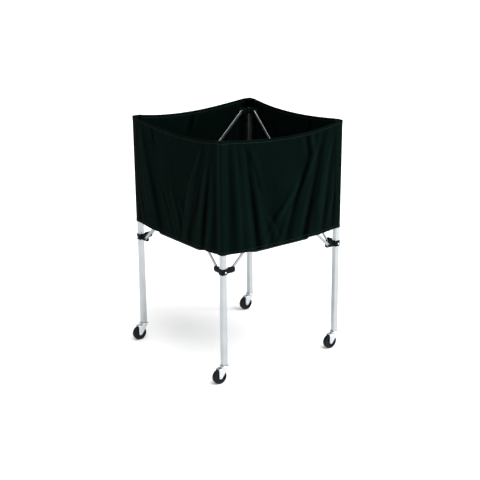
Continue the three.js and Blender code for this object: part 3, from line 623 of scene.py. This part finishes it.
def make_strip(name):
    bm = bmesh.new()
    bmesh.ops.create_grid(bm, x_segments=64, y_segments=150, size=0.5)
    fold_light = bm.verts.layers.float.new("fold_light")
    lay = {}
    for vert in bm.verts:
        vert[fold_light] = STRIP_FOLD_LIGHT
        up = closer_rows(vert.co.y + 0.5)
        radius = HEM_ROUND + (CORNER_ROUND - HEM_ROUND) * up
        run = (vert.co.x + 0.5) * strip_run(radius)
        z = HEM_CORNER_Z + (rim_z - HEM_CORNER_Z) * up
        depth, above = rim_z - z, z - HEM_CORNER_Z
        seam = run - (STRIP - SEAM_AT)
        out = band_height(depth, above) + SEAM_OUT * math.exp(-((seam / SEAM_HALF) ** 4))
        out -= SEAM_OUT * math.exp(-(((abs(seam) - SEAM_ROW) / SEAM_GROOVE_HALF) ** 2))
        place, away = strip_place(run, radius)
        vert.co = place + away * out + Vector((0, 0, z))
        lay[vert] = (run, -depth, depth, above, seam)
    uv_cloth(bm, lay)
    set_in_corner(bm, name, Vector((*CORNERS[name], 0)))
    return thicken(to_object(f"bag_{name}_strip", bm, cloth, 180))


strips = {name: make_strip(name) for name in CORNERS}
print("strips", sorted(strips))

# %% [markdown]
# ## The floor of the hopper
#
# The floor is one eight-sided panel that turns down inside the hem and bellies under its load. It
# can't shrink both ways at once when the frame closes, so it is cut into gores that meet at each
# leg, as the pleats of the folded cloth would. Thirteen narrow gores at a leg stay clear of the
# closed bars and walls, where five would cross them.

# %% Form of the floor
FLOOR_ROLL = 0.024  # width of the turn-down inside the hem
FLOOR_ROLL_DEPTH = 0.018
FLOOR_BELLY = 0.008
FLOOR_INSIDE = 0.0008  # the panel lies that far below the solid's upper edge
DENT = 0.0025
DENTS = 26.0  # 2 pi over the 0.242 m from one dent to the next
PUCKER = 0.0014
PUCKERS = 24.0  # puckers of the seam to the metre
floor_half = (floor_high.x - floor_low.x) / 2
# Half of a straight edge of the floor, between two corners that are cut off.
floor_flat = max(v.co.y - centre.y for v in frame["nodes"]["bag_floor"].data.vertices
                 if v.co.x - centre.x > floor_half - 0.0005)


def floor_z(x, y):
    ax, ay = abs(x), abs(y)
    past_corner = (floor_half + floor_flat - ax - ay) / math.sqrt(2)
    inset = max(min(floor_half - ax, floor_half - ay, past_corner), 0)
    roll = min(inset / FLOOR_ROLL, 1)
    drop = FLOOR_ROLL_DEPTH * math.sqrt(1 - (1 - roll) ** 2)
    belly = FLOOR_BELLY * min(inset / floor_half, 1)
    # The load presses shallow round dents between the puckers of the seam.
    dent = DENT * math.cos(x * DENTS) * math.cos(y * DENTS) * min(inset / 0.05, 1)
    pucker = noise.fractal(Vector((x * PUCKERS, y * PUCKERS, 3.0)), 0.9, 2.0, 3)
    pucker *= PUCKER * min(inset / 0.03, 1)
    return floor_edge_z - FLOOR_INSIDE - drop - belly + dent + pucker


print("the floor's middle lies", round(floor_edge_z - floor_z(0, 0), 4), "below its edge")

# %% [markdown]
# Each gore is cut with two planes from a square grid over a quarter of the floor. The planes pass
# through the middle of the leg, and one more cuts off the corner below the leg, as on the solid.

# %% Floor gores
GORES = 13
GORE_FOLD_LIGHT = 0.5  # half way between the painted shade of a hollow and the painted highlight of a ridge


def cut_away(bm, point, normal):
    bmesh.ops.bisect_plane(bm, geom=[*bm.verts, *bm.edges, *bm.faces], dist=1e-6,
                           plane_co=point, plane_no=normal, clear_outer=True)


def make_gore(name, index):
    bm = bmesh.new()
    bmesh.ops.create_grid(bm, x_segments=56, y_segments=56, size=floor_half / 2)
    bmesh.ops.translate(bm, vec=(-floor_half / 2, -floor_half / 2, 0), verts=bm.verts)
    cut_away(bm, (-floor_half, -floor_flat, 0), (-1, -1, 0))
    leg = Vector((-half_spacing, -half_spacing, 0))
    low, high = (math.radians(90 * (index + step) / GORES) for step in (0, 1))
    if index > 0:
        cut_away(bm, leg, (math.sin(low), -math.cos(low), 0))
    if index < GORES - 1:
        cut_away(bm, leg, (-math.sin(high), math.cos(high), 0))
    fold_light = bm.verts.layers.float.new("fold_light")
    lay = {}
    for vert in bm.verts:
        vert[fold_light] = GORE_FOLD_LIGHT
        vert.co.z = floor_z(vert.co.x, vert.co.y)
        lay[vert] = (vert.co.x, vert.co.y, FAR, FAR, FAR)
    uv_cloth(bm, lay)
    set_in_corner(bm, name, Vector((0, 0, -1)))
    return thicken(to_object(f"bag_floor_{name}_{index}", bm, floor_cloth, 180))


gores = {(name, index): make_gore(name, index) for name in CORNERS for index in range(GORES)}
print("floor gores", len(gores))

# %% [markdown]
# ## Rounded copies of the solids
#
# Moulded and stamped pieces have no knife edges. For each small rigid piece a copy of its solid is
# merged, its coplanar triangles are dissolved, and its sharp edges get a small bevel. The light that
# runs along such an edge is what makes a small part look real.

# %% Rounded copies
MERGE = 0.00002  # vertices closer than this are one
bodies = frame["record"]["behaviour"]["bodies"]
body_of_node = {node: body for body, nodes in bodies.items() for node in nodes}


def stand_for(piece, node):
    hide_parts(node)
    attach(piece, body_of_node[node])
    return piece


def rounded_copy(node, material, width):
    bm = bmesh.new()
    bm.from_mesh(frame["nodes"][node].data)
    bmesh.ops.remove_doubles(bm, verts=bm.verts, dist=MERGE)
    bmesh.ops.dissolve_limit(bm, angle_limit=math.radians(1), verts=bm.verts, edges=bm.edges)
    sharp = [e for e in bm.edges if len(e.link_faces) == 2 and e.calc_face_angle(0.0) > math.radians(40)]
    bmesh.ops.bevel(bm, geom=sharp, offset=width, affect="EDGES", segments=2, profile=0.5,
                    material=-1, clamp_overlap=True)
    return stand_for(to_object(f"{node}_finished", bm, material), node)


for name in CORNERS:
    rounded_copy(f"{name}_top_bracket", nylon, 0.0008)
    rounded_copy(f"{name}_slider", nylon, 0.0008)
    rounded_copy(f"{name}_leg_plug", nylon, 0.0004)
for side in SIDE_TURN:
    rounded_copy(f"{side}_cross_rivet", plated, 0.0004)
print("rounded copies", 3 * len(CORNERS) + len(SIDE_TURN))

# %% [markdown]
# ## Legs and bars
#
# A drawn tube starts as a square face. Its corners are bevelled round, the middle is inset by the
# wall and opened, and the ring is extruded to the length of the leg.

# %% Legs
LEG_WALL = 0.0015
LEG_ROUND = 0.003
SQUARE = ((-1, -1), (1, -1), (1, 1), (-1, 1))


def extrude_along(bm, faces, vector):
    grown = bmesh.ops.extrude_face_region(bm, geom=faces)["geom"]
    bmesh.ops.translate(bm, vec=vector, verts=[g for g in grown if isinstance(g, bmesh.types.BMVert)])
    bmesh.ops.recalc_face_normals(bm, faces=bm.faces)


def make_leg(name):
    bm = bmesh.new()
    half = leg_side / 2
    square = bm.faces.new([bm.verts.new((x * half, y * half, 0)) for x, y in SQUARE])
    bmesh.ops.bevel(bm, geom=list(square.verts), offset=LEG_ROUND, affect="VERTICES", segments=5,
                    profile=0.5, material=-1)
    bm.faces.ensure_lookup_table()
    bmesh.ops.inset_region(bm, faces=bm.faces[:], thickness=LEG_WALL, use_boundary=True,
                           use_even_offset=True)
    bm.faces.ensure_lookup_table()
    inner = min(bm.faces, key=lambda f: f.calc_center_median().length if len(f.verts) > 4 else 1e9)
    bmesh.ops.delete(bm, geom=[inner], context="FACES_ONLY")
    extrude_along(bm, bm.faces[:], (0, 0, leg_high.z - leg_low.z))
    at = leg_at[name]
    bmesh.ops.translate(bm, vec=(at.x, at.y, leg_low.z), verts=bm.verts)
    return stand_for(to_object(f"{name}_tube", bm, tube, 40), f"{name}_leg")


legs = {name: make_leg(name) for name in CORNERS}
print("legs", len(legs), "of tube", round(1000 * leg_side, 1), "mm wide")

# %% [markdown]
# A bar is cut from flat stock with round ends. It starts as a circle whose two halves are drawn
# apart, and is then extruded and bevelled. Two bars cross on each side, one outside the other.

# %% Bars
BAR_WIDTH = 0.012
BAR_THICKNESS = 0.005
BAR_EDGE = 0.0011
BAR_OUT = 0.0063  # from the plane of the legs to the middle of a bar, outwards or inwards
HIGH_END = {"front": -1, "right": -1, "rear": 1, "left": 1}  # where the outer bar is high


def make_bar(node, side, rising, out):
    """A bar on a side, rising to the right (1) or to the left (-1), its middle plane that far outwards."""
    bm = bmesh.new()
    bmesh.ops.create_circle(bm, cap_ends=True, segments=32, radius=BAR_WIDTH / 2)
    for vert in bm.verts:
        vert.co.x += math.copysign(bar_length / 2, vert.co.x + 1e-9)
    extrude_along(bm, bm.faces[:], (0, 0, BAR_THICKNESS))
    rims = [e for e in bm.edges if e.calc_face_angle(0.0) > math.radians(60)]
    bmesh.ops.bevel(bm, geom=rims, offset=BAR_EDGE, affect="EDGES", segments=3, profile=0.5, material=-1)
    bmesh.ops.translate(bm, vec=(0, 0, -BAR_THICKNESS / 2), verts=bm.verts)
    turn = Matrix.Translation((centre.x, centre.y, (upper_pivot_z + lower_pivot_z) / 2))
    turn = turn @ Matrix.Rotation(SIDE_TURN[side], 4, "Z") @ Matrix.Translation((0, -half_spacing - out, 0))
    turn = turn @ Matrix.Rotation(-rising * bar_slope, 4, "Y") @ Matrix.Rotation(math.pi / 2, 4, "X")
    bmesh.ops.transform(bm, matrix=turn, verts=bm.verts)
    return stand_for(to_object(f"{node}_finished", bm, flat_bar), node)


for side, high in HIGH_END.items():
    make_bar(f"{side}_outer_bar", side, high, BAR_OUT)
    make_bar(f"{side}_inner_bar", side, -high, -BAR_OUT)
print("bar length between pins", round(bar_length, 4), "slope", round(math.degrees(bar_slope), 1))

# %% [markdown]
# ## Casters
#
# The wheel, its axle, the bell of the swivel and the lock knobs are turned forms, so each is a profile
# that is spun about its axis. The profiles are in millimetres, from the same sizes as the solids.

# %% Turned pieces
def spun(profile, steps, closed=False):
    """Spins a profile of radius and height, in millimetres, about Z."""
    bm = bmesh.new()
    verts = [bm.verts.new((r / 1000, 0, z / 1000)) for r, z in profile]
    pairs = list(zip(verts, verts[1:])) + ([(verts[-1], verts[0])] if closed else [])
    edges = [bm.edges.new(pair) for pair in pairs]
    bmesh.ops.spin(bm, geom=verts + edges, cent=(0, 0, 0), axis=(0, 0, 1), dvec=(0, 0, 0),
                   angle=2 * math.pi, steps=steps, use_merge=True, use_duplicate=False)
    bmesh.ops.remove_doubles(bm, verts=bm.verts, dist=1e-6)
    bmesh.ops.recalc_face_normals(bm, faces=bm.faces)
    return bm


def arc(cx, cy, radius, start, stop, steps):
    """Points of an arc of a profile, its angles in degrees."""
    turns = [math.radians(start + (stop - start) * step / steps) for step in range(steps + 1)]
    return [(cx + radius * math.cos(t), cy + radius * math.sin(t)) for t in turns]


joint_of = {joint["name"]: joint for joint in frame["joints"]}


def caster_place(name):
    """Turns a caster's own frame, stem on Z and trailing towards -X, into the cart's."""
    axis = joint_of[f"{name}_wheel_spin"]["axis"]
    heading = math.atan2(-axis[0], axis[1])
    at = leg_at[name]
    return Matrix.Translation((at.x, at.y, 0)) @ Matrix.Rotation(heading, 4, "Z")


wheel_at = Vector(joint_of["front_left_wheel_spin"]["pos_m"])
trail = (Vector((leg_at["front_left"].x, leg_at["front_left"].y)) - wheel_at.xy).length * 1000
wheel_radius = wheel_at.z * 1000
print("wheel radius", round(wheel_radius, 2), "trail", round(trail, 2), "mm")

# %% [markdown]
# The wheel is one moulding of hard rubber with a shallow dish in each face and a round shoulder
# beside its tread. The axle is a rivet with a domed head at both ends.

# %% Wheel and axle
WHEEL_HALF = 10.0
SHOULDER = 5.2
YOKE_HALF = 13.2


def wheel_place(name):
    """Turns a piece that was spun about Z onto the wheel's axis."""
    middle_of_wheel = Matrix.Translation((-trail / 1000, 0, wheel_radius / 1000))
    return caster_place(name) @ middle_of_wheel @ Matrix.Rotation(math.pi / 2, 4, "X")


def make_wheel(name):
    r, h = wheel_radius, WHEEL_HALF
    half = [(3.9, h - 0.3), (4.3, h), (7.6, h), (8.0, h - 0.4), (8.4, h - 2.4), (9.2, h - 2.6),
            (19.5, h - 2.6), (20.6, h - 2.2), (21.2, h - 0.5), (21.8, h - 0.1), (22.6, h)]
    half += arc(r - SHOULDER, 4.8, SHOULDER, 78, 12, 8) + [(r, 5.2), (r, 0.0)]
    profile = half + [(x, -y) for x, y in reversed(half[:-1])]
    bm = spun(profile, 96, closed=True)
    bmesh.ops.transform(bm, matrix=wheel_place(name), verts=bm.verts)
    return stand_for(to_object(f"{name}_tyre", bm, rubber), f"{name}_caster_wheel")


def make_axle(name):
    end = YOKE_HALF + 0.3
    half = [(0, end + 2.4), (1.6, end + 2.35), (3.4, end + 2.0), (4.9, end + 1.2), (5.5, end + 0.5),
            (5.5, end), (3.5, end)]
    profile = half + [(x, -y) for x, y in reversed(half)]
    bm = spun(profile, 40)
    bmesh.ops.transform(bm, matrix=wheel_place(name), verts=bm.verts)
    return stand_for(to_object(f"{name}_axle", bm, plated), f"{name}_caster_axle")


print("wheel", 2 * WHEEL_HALF, "mm wide between cheeks", 2 * YOKE_HALF, "mm apart over all")

# %% [markdown]
# The bell is a pressed cap over the bearing of the swivel. Its stem goes up into the plug of the leg.

# %% Bell and stem
BELL_TOP = 73.7
BELL_RADIUS = 18.5
BELL_ROUND = 2.2


def make_bell(name):
    top, r = BELL_TOP, BELL_RADIUS
    profile = [(0, 61.7), (4.6, 61.7), (5.5, 62.4), (5.5, 63.7), (3, 63.7), (3, top - 2.5),
               (r - 1.6, top - 2.5), (r - 1.6, top - 6.6), (r - 1.3, top - 7), (r - 0.2, top - 7),
               (r, top - 6.6)]
    profile += arc(r - BELL_ROUND, top - BELL_ROUND, BELL_ROUND, 0, 80, 6)
    profile += [(8.4, top), (7.6, top - 0.25), (5.2, top - 0.2), (4.5, top + 0.3), (4.5, top + 19.6),
                (4.1, top + 20), (0, top + 20)]
    bm = spun(profile, 72)
    bmesh.ops.transform(bm, matrix=caster_place(name), verts=bm.verts)
    return stand_for(to_object(f"{name}_bell", bm, plated), f"{name}_caster_head")


print("bell", 2 * BELL_RADIUS, "mm across, its top", BELL_TOP, "mm above the floor")

# %% [markdown]
# The yoke is stamped from one strip of steel. Its channel section is extruded, its top is bent down
# behind, and its cheeks are cut to shape with planes, as on a press. The planes follow one another
# round the axle, so the cheek ends in an arc. A race on its top runs up inside the bell.

# %% Yoke
YOKE_TOP = 66.0
YOKE_PLATE = 2.0
YOKE_BEND = 3.0  # outer radius of its two long bends
YOKE_FOOT = 20.0  # height at which the channel starts, below the cut
YOKE_FRONT = 7.0
YOKE_FRONT_DEPTH = 7.0
YOKE_SHOULDER = 13.0
YOKE_DROP = 3.0
YOKE_END = 8.0  # radius of a cheek's end round the axle
YOKE_CUTS = 11


def close_cut(bm, point, normal):
    cut_away(bm, point, normal)
    bmesh.ops.holes_fill(bm, edges=[e for e in bm.edges if e.is_boundary])


def make_yoke(name):
    w, top, t, c = YOKE_HALF, YOKE_TOP, YOKE_PLATE, YOKE_BEND
    outside = ([(-w, YOKE_FOOT)] + arc(-w + c, top - c, c, 180, 90, 4)
               + arc(w - c, top - c, c, 90, 0, 4) + [(w, YOKE_FOOT)])
    inside = ([(w - t, YOKE_FOOT)] + arc(w - c, top - c, c - t, 0, 90, 3)
              + arc(-w + c, top - c, c - t, 90, 180, 3) + [(-w + t, YOKE_FOOT)])
    bm = bmesh.new()
    section = bm.faces.new([bm.verts.new((YOKE_FRONT, y, z)) for y, z in outside + inside])
    back = -trail - YOKE_END
    extrude_along(bm, [section], (back - YOKE_FRONT, 0, 0))
    bmesh.ops.bisect_plane(bm, geom=[*bm.verts, *bm.edges, *bm.faces], dist=1e-4,
                           plane_co=(-YOKE_SHOULDER, 0, 0), plane_no=(1, 0, 0))
    for vert in bm.verts:
        if vert.co.x < back + 0.1 and vert.co.z > YOKE_FOOT + 10:
            vert.co.z -= YOKE_DROP
    rise, run = top - YOKE_FRONT_DEPTH - wheel_radius, YOKE_FRONT + trail
    touch = math.degrees(math.atan2(rise, run) - math.acos(YOKE_END / math.hypot(rise, run)))
    for step in range(YOKE_CUTS):
        turn = math.radians(touch + (-180 - touch) * step / YOKE_CUTS)
        away = Vector((math.cos(turn), 0, math.sin(turn)))
        close_cut(bm, Vector((-trail, 0, wheel_radius)) + away * YOKE_END, away)
    bmesh.ops.recalc_face_normals(bm, faces=bm.faces)
    sharp = [e for e in bm.edges if e.calc_face_angle(0.0) > math.radians(50)]
    bmesh.ops.bevel(bm, geom=sharp, offset=0.35, affect="EDGES", segments=2, profile=0.5, material=-1,
                    clamp_overlap=True)
    bmesh.ops.scale(bm, vec=(0.001, 0.001, 0.001), verts=bm.verts)
    low, high = top - t, BELL_TOP - 2.8
    race = spun([(3.3, low), (15.9, low), (16.5, low + 0.5), (16.5, top - 0.5), (16.1, top),
                 (16.1, high), (3.3, high)], 64, closed=True)
    race_mesh = bpy.data.meshes.new("race")
    race.to_mesh(race_mesh)
    race.free()
    bm.from_mesh(race_mesh)
    bpy.data.meshes.remove(race_mesh)
    bmesh.ops.transform(bm, matrix=caster_place(name), verts=bm.verts)
    return stand_for(to_object(f"{name}_yoke", bm, plated), f"{name}_caster_yoke")


for name in CORNERS:
    make_wheel(name)
    make_axle(name)
    make_bell(name)
    make_yoke(name)
print("casters", len(CORNERS), "each with wheel, axle, bell and yoke")

# %% [markdown]
# The lock knob of each slider is a turned steel button. Its domed head is what shows in the photo
# as a bright dot on the bracket.

# %% Lock knobs
KNOB_GAP = 0.0004  # between the tube and the knob's pin


def make_knob(name):
    node = f"{name}_lock_knob"
    low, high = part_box(node)
    axis = Vector(joint_of[f"{name}_lock_pull"]["axis"])
    at = leg_at[name]
    foot = Vector((at.x, at.y, 0))
    outer = max((high - foot).dot(axis), (low - foot).dot(axis)) * 1000
    inner = (leg_side / 2 + KNOB_GAP) * 1000
    profile = [(0, inner), (2.2, inner), (2.2, outer - 3.5), (3.6, outer - 3.5), (4, outer - 3.1),
               (4, outer - 1.5)]
    profile += arc(2.4, outer - 1.6, 1.6, 0, 70, 4) + [(1.2, outer - 0.05), (0, outer)]
    bm = spun(profile, 40)
    turn = Vector((0, 0, 1)).rotation_difference(axis).to_matrix().to_4x4()
    turn = Matrix.Translation((at.x, at.y, lower_pivot_z)) @ turn
    bmesh.ops.transform(bm, matrix=turn, verts=bm.verts)
    return stand_for(to_object(f"{name}_knob", bm, plated), node)


knobs = [make_knob(name) for name in CORNERS]
print("lock knobs", len(knobs))

# %% [markdown]
# ## Pockets
#
# A pocket is a doubled patch of cloth sewn into the corner of the hopper, open below, that slips
# over the top of its leg. It starts from the solid, is pushed out to meet the corner strip, and is
# subdivided and crumpled a little.

# %% Pockets
LONG_EDGE = 0.008  # edges longer than this are subdivided
INNER_LAYER = 0.0012  # the cloth closer to the tube than this stays as it is
TUBE_FACE = 0.011  # half of the tube's width
POCKET_PUSH = 0.0008  # out to the corner strip, on the two outer faces
CRUMPLE = 0.0008
CRUMPLE_SCALE = 90.0  # crumples to the metre
SLACK = 0.0006  # how far the two inner faces stand off


def make_pocket(name):
    sx, sy = CORNERS[name]
    node = f"{name}_bag_pocket"
    bm = bmesh.new()
    bm.from_mesh(frame["nodes"][node].data)
    bmesh.ops.remove_doubles(bm, verts=bm.verts, dist=MERGE)
    at = leg_at[name]
    cuts = [e for e in bm.edges if e.calc_length() > LONG_EDGE]
    bmesh.ops.subdivide_edges(bm, edges=cuts, cuts=5, use_grid_fill=True)
    for vert in bm.verts:
        local = Vector(((vert.co.x - at.x) * sx, (vert.co.y - at.y) * sy, 0))
        if max(abs(local.x), abs(local.y)) > leg_side / 2 + INNER_LAYER:
            vert.co.x += sx * POCKET_PUSH * (local.x > TUBE_FACE)
            vert.co.y += sy * POCKET_PUSH * (local.y > TUBE_FACE)
            crumple = noise.fractal(vert.co * CRUMPLE_SCALE, 0.9, 2.0, 2) * CRUMPLE
            away = Vector((local.x * sx, local.y * sy, 0))
            if min(local.x, local.y) < 0.008:
                vert.co += away.normalized() * (abs(crumple) + SLACK * (local.x < 0 or local.y < 0))
    lay = {vert: (vert.co.x + vert.co.y, vert.co.z, FAR, FAR, FAR) for vert in bm.verts}
    uv_cloth(bm, lay)
    return stand_for(to_object(f"{name}_pocket", bm, cloth, 60), node)


pockets = {name: make_pocket(name) for name in CORNERS}
print("pockets", len(pockets))

# %% [markdown]
# ## How the cloth moves
#
# Each wall rides on the leg that its solid rides on, and each strip on the frame of its leg. When
# the frame closes, the real cloth falls in loose folds between two closed legs. The real cloth
# falls in loose folds there. This one keeps its drawn folds.

# %% Rides of walls and strips
for side, wall in walls.items():
    node = f"bag_{side}_wall"
    stand_for(wall, node)
    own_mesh(wall)
for name, strip in strips.items():
    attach(strip, f"{name}_frame")

# %% [markdown]
# Each gore of the floor rides on the frame of its leg. The angle of a line from its leg to its own
# middle is worked out, the outermost lines turned a little inwards, but nothing uses it.

# %% Rides of the floor
LEAST_TURN = 2.7  # least angle between a gore's line and the wall, in degrees
for (name, index), gore in gores.items():
    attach(gore, f"{name}_frame")
    turn = math.radians(min(max(90 * (index + 0.5) / GORES, LEAST_TURN), 90 - LEAST_TURN))
    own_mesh(gore)
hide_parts("bag_floor")
print("pieces of cloth that fold:", len(walls) + len(gores))

# %% [markdown]
# ## Floor, light and camera
#
# The cart stands on a plain pale floor that reaches past the edges of the picture.

# %% Floor
FLOOR_HALF = 45.0
paint, tree, shader = start_material("matt_white_floor")
place = add(tree, "ShaderNodeTexCoord").outputs["Object"]
mottle = add(tree, "ShaderNodeTexNoise", Vector=place, Scale=3.0)
tone = add(tree, "ShaderNodeMix", {"data_type": "RGBA"}, _0=mottle.outputs["Fac"],
           _6=srgb("#f4f4f4"), _7=srgb("#f8f8f8"))
tree.links.new(tone.outputs[2], shader.inputs["Base Color"])
shader.inputs["Roughness"].default_value = 0.9
bm = bmesh.new()
bmesh.ops.create_grid(bm, x_segments=2, y_segments=2, size=FLOOR_HALF)
bmesh.ops.translate(bm, vec=(0, 0, -0.0005), verts=bm.verts)
studio_floor = to_object("studio_floor", bm, paint)
print("stage:", studio_floor.name)

# %% [markdown]
# A broad soft key from high up keeps the floor white. Folds in black cloth only show in light that
# grazes them, so one soft box stands low at the right and a weaker one low in front, left of the
# middle. All three are aimed at the lower part of the hopper.

# %% Lights
AIM = Vector((centre.x, centre.y, 0.6))
world = bpy.data.worlds.new("studio")
bpy.context.scene.world = world
world.use_nodes = True
surroundings = world.node_tree.nodes["Background"].inputs
surroundings["Color"].default_value = (1, 1, 1, 1)
surroundings["Strength"].default_value = 0.75


def aimed(light, at):
    lamp = bpy.data.objects.new(light.name, light)
    lamp.location = at
    lamp.rotation_euler = (AIM - Vector(at)).to_track_quat("-Z", "Y").to_euler()
    bpy.context.scene.collection.objects.link(lamp)
    return lamp


def soft_box(name, at, size, power):
    light = bpy.data.lights.new(name, "AREA")
    light.shape = "SQUARE"
    light.size = size
    light.energy = power
    return aimed(light, at)


key = bpy.data.lights.new("key", "SUN")
key.energy = 3.4
key.angle = math.radians(60)
lamps = [aimed(key, (0.6, -2.2, 4.6)), soft_box("right", (3.2, -2.0, 1.5), 0.9, 60),
         soft_box("left", (-1.3, -3.4, 1.6), 0.9, 10)]
print("lights:", [lamp.name for lamp in lamps])

# %% [markdown]
# The camera stands where the photo was taken. Its place, angle and lens were found by fitting the
# feet, the sliders, the legs and the hopper's corners of the solids to the same points of the photo.

# %% Camera
FOCAL_PIXELS = 1177  # focal length, in pixels of a picture that is PICTURE_WIDTH wide
PICTURE_WIDTH = 480
CAMERA_AT = Vector((centre.x - 2.830, centre.y - 3.727, 1.966))
AZIMUTH, ELEVATION, ROLL = (math.radians(v) for v in (-37.35, 17.84, -0.4))
camera_data = bpy.data.cameras.new("camera")
camera_data.sensor_width = 36
camera_data.lens = 36 * FOCAL_PIXELS / PICTURE_WIDTH
camera = bpy.data.objects.new("camera", camera_data)
bpy.context.scene.collection.objects.link(camera)
level = math.cos(ELEVATION)
back = Vector((math.sin(AZIMUTH) * level, -math.cos(AZIMUTH) * level, math.sin(ELEVATION)))
camera.rotation_mode = "QUATERNION"
camera.rotation_quaternion = (-back).to_track_quat("-Z", "Y") @ Quaternion((0, 0, 1), ROLL)
camera.location = CAMERA_AT
bpy.context.scene.camera = camera
bpy.context.scene.view_settings.view_transform = "Standard"
print("camera lens", round(camera_data.lens, 2), "mm")

# %% [markdown]
# Last, the lesson lists any solid that is still shown as it came.

# %% Finish
for node, solid in frame["nodes"].items():
    if not solid.hide_render:
        print("still shown as a solid:", node)
